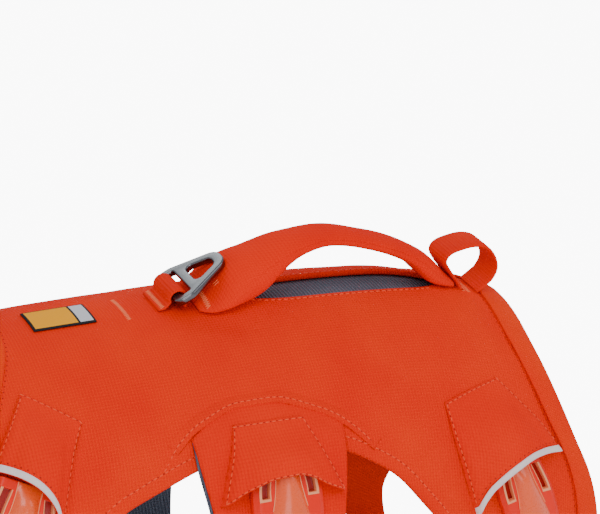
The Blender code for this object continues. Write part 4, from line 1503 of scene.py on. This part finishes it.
def edit_faces(piece, material_index):
    """Opens edit mode with just the faces of one material selected."""
    bpy.ops.object.mode_set(mode="EDIT")
    bpy.ops.mesh.select_mode(type="FACE")
    bpy.ops.mesh.select_all(action="DESELECT")
    bpy.ops.object.mode_set(mode="OBJECT")
    for face in piece.data.polygons:
        face.select = face.material_index == material_index
    bpy.ops.object.mode_set(mode="EDIT")


def finish_flat(piece, bevel):
    """Rounds the sharp edges, turns all the faces outwards and shades them."""
    soften = piece.modifiers.new("round edges", "BEVEL")
    soften.width = bevel
    soften.segments = 2
    soften.limit_method = "ANGLE"
    soften.angle_limit = ROUND_EDGE_ANGLE
    bpy.ops.object.modifier_apply(modifier=soften.name)
    bpy.ops.object.mode_set(mode="EDIT")
    bpy.ops.mesh.select_all(action="SELECT")
    bpy.ops.mesh.normals_make_consistent(inside=False)
    bpy.ops.object.mode_set(mode="OBJECT")
    bpy.ops.object.shade_smooth_by_angle(angle=PLASTIC_SMOOTH_ANGLE)


def extrude_selected(height):
    bpy.ops.mesh.extrude_region_move(TRANSFORM_OT_translate={"value": (0, 0, height)})


print("steps for hard pieces are ready")

# %% [markdown]
# The housing starts as a flat grid whose lines are then moved to follow the flare, so its
# windows and rims can be extruded from whole faces: windows down, rims up. At last the outer
# edge is drawn down to the base and the underside is filled.

# %% Housing of a buckle
WINDOW_SHADE, RIM_HIGHLIGHT, RIDGE_HIGHLIGHT = 1, 2, 3
WINDOW_TOP, WINDOW_END = -3.0, 8.0
WINDOW_DEPTH = 3.0
RIM_HEIGHT = 0.4
RIM_LENGTH = 1.1
RIDGE_LINE_END = WINDOW_END + 5
HOUSING_BEVEL = 0.16
zone_of_column = [
    zone for zone, count in enumerate(HOUSING_COLUMNS_IN_ZONE) for _ in range(count)
]
columns = 2 * sum(HOUSING_COLUMNS_IN_ZONE)
middle_column = columns // 2
bpy.ops.object.select_all(action="DESELECT")
bpy.ops.mesh.primitive_grid_add(x_subdivisions=columns, y_subdivisions=HOUSING_ROWS, size=1)
housing = bpy.context.object
for material in (plastic, window_shade_plastic, rim_highlight_plastic, ridge_highlight_plastic):
    housing.data.materials.append(material)
for face in housing.data.polygons:
    column = int((face.center.x + 0.5) * columns) - middle_column
    zone = zone_of_column[column if column >= 0 else -1 - column]
    along = blend(HOUSING_TOP, HOUSING_END, face.center.y + 0.5)
    beside_window = WINDOW_TOP < along < WINDOW_END + RIM_LENGTH
    # The ridge, the line beside it and the rims get a painted highlight, and the windows a painted
    # shade
    if zone == ON_RIDGE:
        face.material_index = RIDGE_HIGHLIGHT
    elif zone == RIDGE_LINE and along < RIDGE_LINE_END:
        face.material_index = RIM_HIGHLIGHT
    elif zone == OVER_WINDOW and WINDOW_TOP < along < WINDOW_END:
        face.material_index = WINDOW_SHADE
    elif zone in (INNER_RIM, OVER_WINDOW, OUTER_RIM) and beside_window:
        face.material_index = RIM_HIGHLIGHT
for vertex in housing.data.vertices:
    column = round((vertex.co.x + 0.5) * columns)
    along = blend(HOUSING_TOP, HOUSING_END, vertex.co.y + 0.5)
    lines, ridge, side = housing_lines(along)
    vertex.co = (lines[column], along, housing_height(lines[column], along, ridge, side))
edit_faces(housing, WINDOW_SHADE)
extrude_selected(-WINDOW_DEPTH)
bpy.ops.object.mode_set(mode="OBJECT")
edit_faces(housing, RIM_HIGHLIGHT)
extrude_selected(RIM_HEIGHT)
bpy.ops.mesh.select_all(action="DESELECT")
bpy.ops.mesh.select_mode(type="EDGE")
bpy.ops.mesh.select_non_manifold()
extrude_selected(-1)
bpy.ops.object.mode_set(mode="OBJECT")
for vertex in housing.data.vertices:
    if vertex.select:
        vertex.co.z = 0
bpy.ops.object.mode_set(mode="EDIT")
bpy.ops.mesh.fill()
bpy.ops.object.mode_set(mode="OBJECT")
finish_flat(housing, HOUSING_BEVEL)
print("a housing has", len(housing.data.polygons), "faces")

# %% [markdown]
# The plug shows little more than the plate that its strap goes through. It starts as a grid
# too: the slot is cut away, and the plate is extruded to its thickness.

# %% Plug of a buckle
PLUG_HALF = 14.5
PLUG_TOP, PLUG_END = 21.4, 36.0
PLUG_SLOT_TOP, PLUG_SLOT_END, PLUG_SLOT_HALF = 26.0, 29.0, 10.5
PLUG_LIFT = WEBBING + SEAM
PLUG_THICKNESS, PLUG_CROWN = 3.4, 0.5
PLUG_COLUMNS, PLUG_ROWS = 28, 14
PLUG_BEVEL = 0.55
SLOT_FACES = 1

bpy.ops.object.select_all(action="DESELECT")
bpy.ops.mesh.primitive_grid_add(x_subdivisions=PLUG_COLUMNS, y_subdivisions=PLUG_ROWS, size=1)
plug = bpy.context.object
plug.data.materials.append(plastic)
plug.data.materials.append(window_shade_plastic)
for vertex in plug.data.vertices:
    along = blend(PLUG_TOP, PLUG_END, vertex.co.y + 0.5)
    across = 2 * PLUG_HALF * vertex.co.x
    crown = PLUG_CROWN * math.cos(math.pi * (vertex.co.y * 0.9))
    vertex.co = (across, along, PLUG_LIFT + crown)
for face in plug.data.polygons:
    across, along = abs(face.center.x), face.center.y
    inside = across < PLUG_SLOT_HALF and PLUG_SLOT_TOP < along < PLUG_SLOT_END
    face.material_index = SLOT_FACES if inside else 0
edit_faces(plug, SLOT_FACES)
bpy.ops.mesh.delete(type="FACE")
bpy.ops.mesh.select_all(action="SELECT")
extrude_selected(PLUG_THICKNESS - PLUG_CROWN)
bpy.ops.object.mode_set(mode="OBJECT")
finish_flat(plug, PLUG_BEVEL)
print("a plug has", len(plug.data.polygons), "faces")

# %% [markdown]
# One housing and one plug have been modelled flat. Each buckle is a copy with its own mesh,
# bent onto its strap's route, because the six routes curve in different ways.

# %% Buckles on their routes
def lay_on_route(flat, name, route, node):
    """A copy with its own mesh, whose points are put on the strap's route."""
    piece = flat.copy()
    piece.data = flat.data.copy()
    piece.name = name
    bpy.context.collection.objects.link(piece)
    for vertex in piece.data.vertices:
        across, along, height = vertex.co
        vertex.co = route.on_buckle(along, across, height) * MM
    if route.side == LEFT:
        piece.data.flip_normals()
    return hand_in(piece, [node])


for (strap_name, side_name), route in ROUTES.items():
    prefix = f"{strap_name}_buckle"
    lay_on_route(
        housing, f"{prefix}_shell_{side_name}", route, f"{prefix}_housing_{side_name}",
    )
    lay_on_route(plug, f"{prefix}_latch_{side_name}", route, f"{prefix}_plug_{side_name}")
print("buckles:", len(ROUTES))
bpy.data.objects.remove(housing)
bpy.data.objects.remove(plug)

# %% [markdown]
# The chest pad lies under the belly and takes all six straps. It is padded cloth with a crown,
# thin at its edges. It is not seen in the photograph, so it is finished plainly.

# %% Chest pad
# x, half width
CHEST_PANEL = (
    (-212, 13), (-198, 26), (-170, 24), (-120, 20), (-85, 26), (-57, 31), (-20, 27), (20, 27),
    (58, 32), (80, 27), (96, 13),
)
CHEST_EDGE_SHARE = 0.55


def chest_place(u, v):
    x = blend(CHEST_PANEL[0][0], CHEST_PANEL[-1][0], u)
    return x, half_girth(x) + (2 * v - 1) * smooth(CHEST_PANEL, x)


def chest_crown(x, s):
    """How far the pad's outside is drawn in from its full thickness."""
    share = abs(s - half_girth(x)) / max(smooth(CHEST_PANEL, x), 1)
    edge = blend(CHEST_EDGE_SHARE, 1.0, math.sqrt(max(1 - min(share, 1) ** 2, 0)))
    return CHEST_PAD * (edge - 1)


chest_cells = grid_cells(steps(150), steps(30), chest_place)
chest = make_cloth("chest_pad", chest_cells, constant(0.0), CHEST_PAD, gray_cloth, chest_crown)
hand_in(chest, ["chest_panel"])
print("chest pad:", len(chest.data.polygons), "faces")

# %% [markdown]
# The small woven patch on the spine is left bare: a yellow field, a dark border and a pale band
# at one end. The three colours are three materials on the cells of one thin piece of cloth.

# %% Patch
PATCH_REAR, PATCH_FRONT, PATCH_HALF = -141.0, -112.5, 9.0
PATCH_BORDER = 1.0
PATCH_END_BAND = 7.0
PATCH_CELLS_ALONG, PATCH_CELLS_ACROSS = 57, 36
# Spacing, share and depth of the ribs, and roughness
PATCH_WEAVE = ((0.6, 0.6), (0.4, 0.4), 0.05, 0.6)
patch_field = make_cloth_material(
    "patch field", (0.96, 0.36, 0.0), (1.0, 0.46, 0.01), *PATCH_WEAVE,
)
patch_dark = make_cloth_material(
    "patch border", (0.012, 0.013, 0.016), (0.03, 0.032, 0.036), *PATCH_WEAVE,
)
patch_pale = make_cloth_material(
    "patch end band", (0.55, 0.55, 0.62), (0.72, 0.72, 0.78), *PATCH_WEAVE,
)


def patch_place(u, v):
    return blend(PATCH_REAR, PATCH_FRONT, u), blend(-PATCH_HALF, PATCH_HALF, v)


patch = make_cloth(
    "bare_patch", grid_cells(steps(PATCH_CELLS_ALONG), steps(PATCH_CELLS_ACROSS), patch_place),
    constant(ON_SADDLE), PATCH, patch_field,
)
patch.data.materials.append(patch_dark)
patch.data.materials.append(patch_pale)
pattern = patch.data.uv_layers["pattern"].data
for face in patch.data.polygons:
    spots = [pattern[index].uv / MM for index in face.loop_indices]
    x = sum(spot.x for spot in spots) / len(spots)
    s = sum(spot.y for spot in spots) / len(spots)
    to_edge = min(x - PATCH_REAR, PATCH_FRONT - x, PATCH_HALF - abs(s))
    to_band = PATCH_FRONT - PATCH_END_BAND - x
    if to_edge < PATCH_BORDER or 0 < to_band < PATCH_BORDER:
        face.material_index = 1
    elif to_band <= 0:
        face.material_index = 2
hand_in(patch, ["name_patch"])
declare_sheet(patch)

# %% [markdown]
# Lines of topstitching follow the seams. A stitch is a short plump spindle of thread that dips
# into the cloth at both ends, where the needle left a small hole. The shade in that hole is
# painted as a small dark spindle. A texture would look flat up close, so each stitch is real
# geometry, but of only a few faces. All the stitches of one part of the harness are gathered
# into one mesh.

# %% Sewing
STITCH_STEP = 1.5
THREAD, HOLE_SHADE, TACK = range(3)
# half length, half width, height
THREAD_SIZE = (0.98, 0.30, 0.32)
HOLE_SIZE = (0.36, 0.32, 0.12)
SPINDLE = ((-1, 0.45), (-0.5, 1), (0.5, 1), (1, 0.45))
SPINDLE_SIDES = 6
SPINDLE_FACES = (len(SPINDLE) - 1) * SPINDLE_SIDES + 2
# How far ahead a stitch looks for its direction, and the least that it has to find there
LOOK_AHEAD, LEAST_AHEAD = 0.4, 0.01


class Sewing:
    """Gathers spindles of thread into one mesh."""

    def __init__(self):
        self.points, self.faces, self.kinds = [], [], []

    def spindle(self, middle, along, outwards, size, kind):
        half_length, half_width, height = size
        across = outwards.cross(along).normalized()
        first = len(self.points)
        for share, swell in SPINDLE:
            for corner in range(SPINDLE_SIDES):
                turn = 2 * math.pi * corner / SPINDLE_SIDES
                self.points.append(
                    middle + along * (share * half_length)
                    + across * (math.cos(turn) * half_width * swell)
                    + outwards * (math.sin(turn) * height * swell)
                )
        faces = [tuple(first + corner for corner in reversed(range(SPINDLE_SIDES)))]
        for ring in range(len(SPINDLE) - 1):
            start = first + ring * SPINDLE_SIDES
            for corner in range(SPINDLE_SIDES):
                a, b = start + corner, start + (corner + 1) % SPINDLE_SIDES
                faces.append((a, b, b + SPINDLE_SIDES, a + SPINDLE_SIDES))
        last = first + (len(SPINDLE) - 1) * SPINDLE_SIDES
        faces.append(tuple(last + corner for corner in range(SPINDLE_SIDES)))
        self.faces += faces
        self.kinds += [kind] * len(faces)

    def line(self, spots, with_thread=True):
        """Stitches and the painted shade of needle holes by turns, along spots of x, signed s and
        lift.
        """
        rows = np.array(spots)
        places = np.array([form_point(*spot) for spot in spots])
        lengths = np.concatenate(([0], np.cumsum(np.linalg.norm(np.diff(places, axis=0), axis=1))))
        for index in range(int(lengths[-1] / STITCH_STEP)):
            mark = (index + 0.5) * STITCH_STEP
            x, s, lift = [float(np.interp(mark, lengths, rows[:, column])) for column in range(3)]
            middle, ahead = [
                Vector([float(np.interp(at, lengths, places[:, axis])) for axis in range(3)])
                for at in (mark, mark + LOOK_AHEAD)
            ]
            if (ahead - middle).length < LEAST_AHEAD:
                continue
            outwards = (form_point(x, s, lift + 1) - form_point(x, s, lift)).normalized()
            along = (ahead - middle).normalized()
            if index % 2:
                self.spindle(middle, along, outwards, HOLE_SIZE, HOLE_SHADE)
            elif with_thread:
                self.spindle(middle, along, outwards, THREAD_SIZE, THREAD)

    def finish(self, name):
        patterns = [(point.x, point.y) for point in self.points]
        piece = make_mesh_object(
            name, self.points, self.faces, patterns, [thread, needle_hole_shade, pale_thread], self.kinds,
        )
        print(f"{name}: {len(self.faces) // SPINDLE_FACES} stitches and holes")
        return hand_in(piece)


print("a stitch has", SPINDLE_FACES, "faces")

# %% [markdown]
# On the saddle, one row holds the lip of the arch, and others follow the lower edge and the
# slot. Beside the bindings only the painted shade of the needle holes shows.

# %% Stitches of the saddle
LIP_STITCHES = 1.7
# Where the arch's row runs on to the lower edge behind: x, s
ARCH_ROW_START = (-104.5, 85.0)
BINDING_STITCH_INSET = 1.2
# The rows of the lip's profile that face outwards
LIP_FACE = slice(2, 10)
# x along the slot, and s along the two bindings
SLOT_ROW = range(-40, 49, 2)
NECK_ROW, REAR_ROW = range(2, 145, 3), range(2, 110, 3)
saddle_sewing = Sewing()
for side, _ in SIDES:
    spots = [(ARCH_ROW_START[0], side * ARCH_ROW_START[1], SADDLE_TOP)]
    for index in range(2, len(arch_line) - 2):
        x, s = arch_spot(index, LIP_STITCHES)
        shifts, lifts = zip(*lip_profile(arch_line[index][0])[LIP_FACE])
        lift = float(np.interp(LIP_STITCHES, shifts, lifts))
        spots.append((x, side * s, lift + relief_on_lip(x, s, LIP_STITCHES)))
    saddle_sewing.line(spots)
    slot_edge = [(x, slot_half_width(x) + SLOT_SEAM_INSET) for x in SLOT_ROW]
    neck_inset = NECK_BINDING_WIDTH + BINDING_STITCH_INSET
    rear_inset = REAR_BINDING_WIDTH + BINDING_STITCH_INSET
    beside_neck = [(smooth(NECK_EDGE, s) - neck_inset, s) for s in NECK_ROW]
    beside_rear = [(smooth(REAR_EDGE, s) + rear_inset, s) for s in REAR_ROW]
    for row, with_thread in (
        (lower_edge_seam(LOWER_SEAM_INSET), True), (slot_edge, True),
        (beside_neck, False), (beside_rear, False),
    ):
        row = [(x, side * s, SADDLE_TOP + saddle_relief(x, s)) for x, s in row]
        saddle_sewing.line(row, with_thread)
saddle_sewing.finish("saddle_stitches")

# %% [markdown]
# A cover is sewn down along its sides and top. Its pale edge shows only the painted shade of the
# needle holes of its seam, and the plain mouth of the girth cover has a row of stitches of its own.

# %% Stitches of the covers
COVER_SEAM_INSET = 1.0
TRIM_SEAM_GAP = 1.4
# Spots along the row at each side, the top and the mouth
SIDE_SPOTS, TOP_SPOTS, MOUTH_SPOTS = 40, 30, 50
cover_sewing = Sewing()
for (place_name, side_name), cover in COVERS.items():
    def on_cover(u, v):
        x, s = cover.place(u, v)
        return x, s, cover.low(u, v) + COVER + cover.relief(u, v)

    inset = COVER_SEAM_INSET / cover.width
    top = COVER_SEAM_INSET / cover.length
    plain = place_name == "girth"
    mouth = 1 - (COVER_SEAM_INSET if plain else TRIM_WIDTH + TRIM_SEAM_GAP) / cover.length
    around = [(inset, blend(mouth, top, share)) for share in steps(SIDE_SPOTS)]
    around += [(blend(inset, 1 - inset, share), top) for share in steps(TOP_SPOTS)]
    around += [(1 - inset, blend(top, mouth, share)) for share in steps(SIDE_SPOTS)]
    cover_sewing.line([on_cover(u, v) for u, v in around])
    cover_sewing.line([on_cover(u, mouth) for u in steps(MOUTH_SPOTS)][1:-1], with_thread=plain)
cover_sewing.finish("cover_stitches")

# %% [markdown]
# Dense zigzag tacks hold the webbing and the feet of the handle along the spine. They run over
# several layers, so each stitch is put on whatever lies on top there, which a ray from above
# finds.

# %% Tacks along the spine
TACK_STEP = 0.62
TACK_HALF_WIDTH = 1.1
# half width, height
TACK_SIZE = (0.24, 0.22)
# A longer reach would hang in the air between two layers, so no stitch is put there
LONGEST_REACH = 3 * TACK_HALF_WIDTH
# x, from and to across the spine, height the rays start from
TACKS = (
    (-98.0, -11, 11, 10), (-82.2, -9.6, 9.6, 10), (-63.0, 5, 16, 24), (-63.0, -16, -5, 24),
    (-57.0, -10, 10, 24), (66.6, -8.5, 8.5, 8), (69.4, -8.5, 8.5, 8),
)


def top_of(pieces, x, y, start_height):
    """The highest spot of the pieces here, and which way their surface faces."""
    start = Vector((x, y, start_height)) * MM
    hits = [piece.ray_cast(start, Vector((0, 0, -1))) for piece in pieces]
    hits = [hit for hit in hits if hit[0]]
    found = max(hits, key=lambda hit: hit[1].z)
    return found[1] / MM, found[2]


bpy.context.view_layer.update()
under_tacks = [
    bpy.data.objects[name] for name in
    ("saddle_shell", "leash_strap", "front_webbing_loop", "padded_handle")
]
tack_sewing = Sewing()
for x, start, end, start_height in TACKS:
    count = round((end - start) / TACK_STEP)
    marks = []
    for index in range(count + 1):
        across = blend(start, end, index / count)
        sideways = TACK_HALF_WIDTH * (1 if index % 2 else -1)
        marks.append(top_of(under_tacks, x + sideways, across, start_height))
    for (before, facing), (after, _) in zip(marks, marks[1:]):
        reach = after - before
        if reach.length > LONGEST_REACH:
            continue
        tack_sewing.spindle(
            (before + after) / 2, reach.normalized(), facing, (reach.length / 2, *TACK_SIZE), TACK,
        )
tack_sewing.finish("spine_tacks")
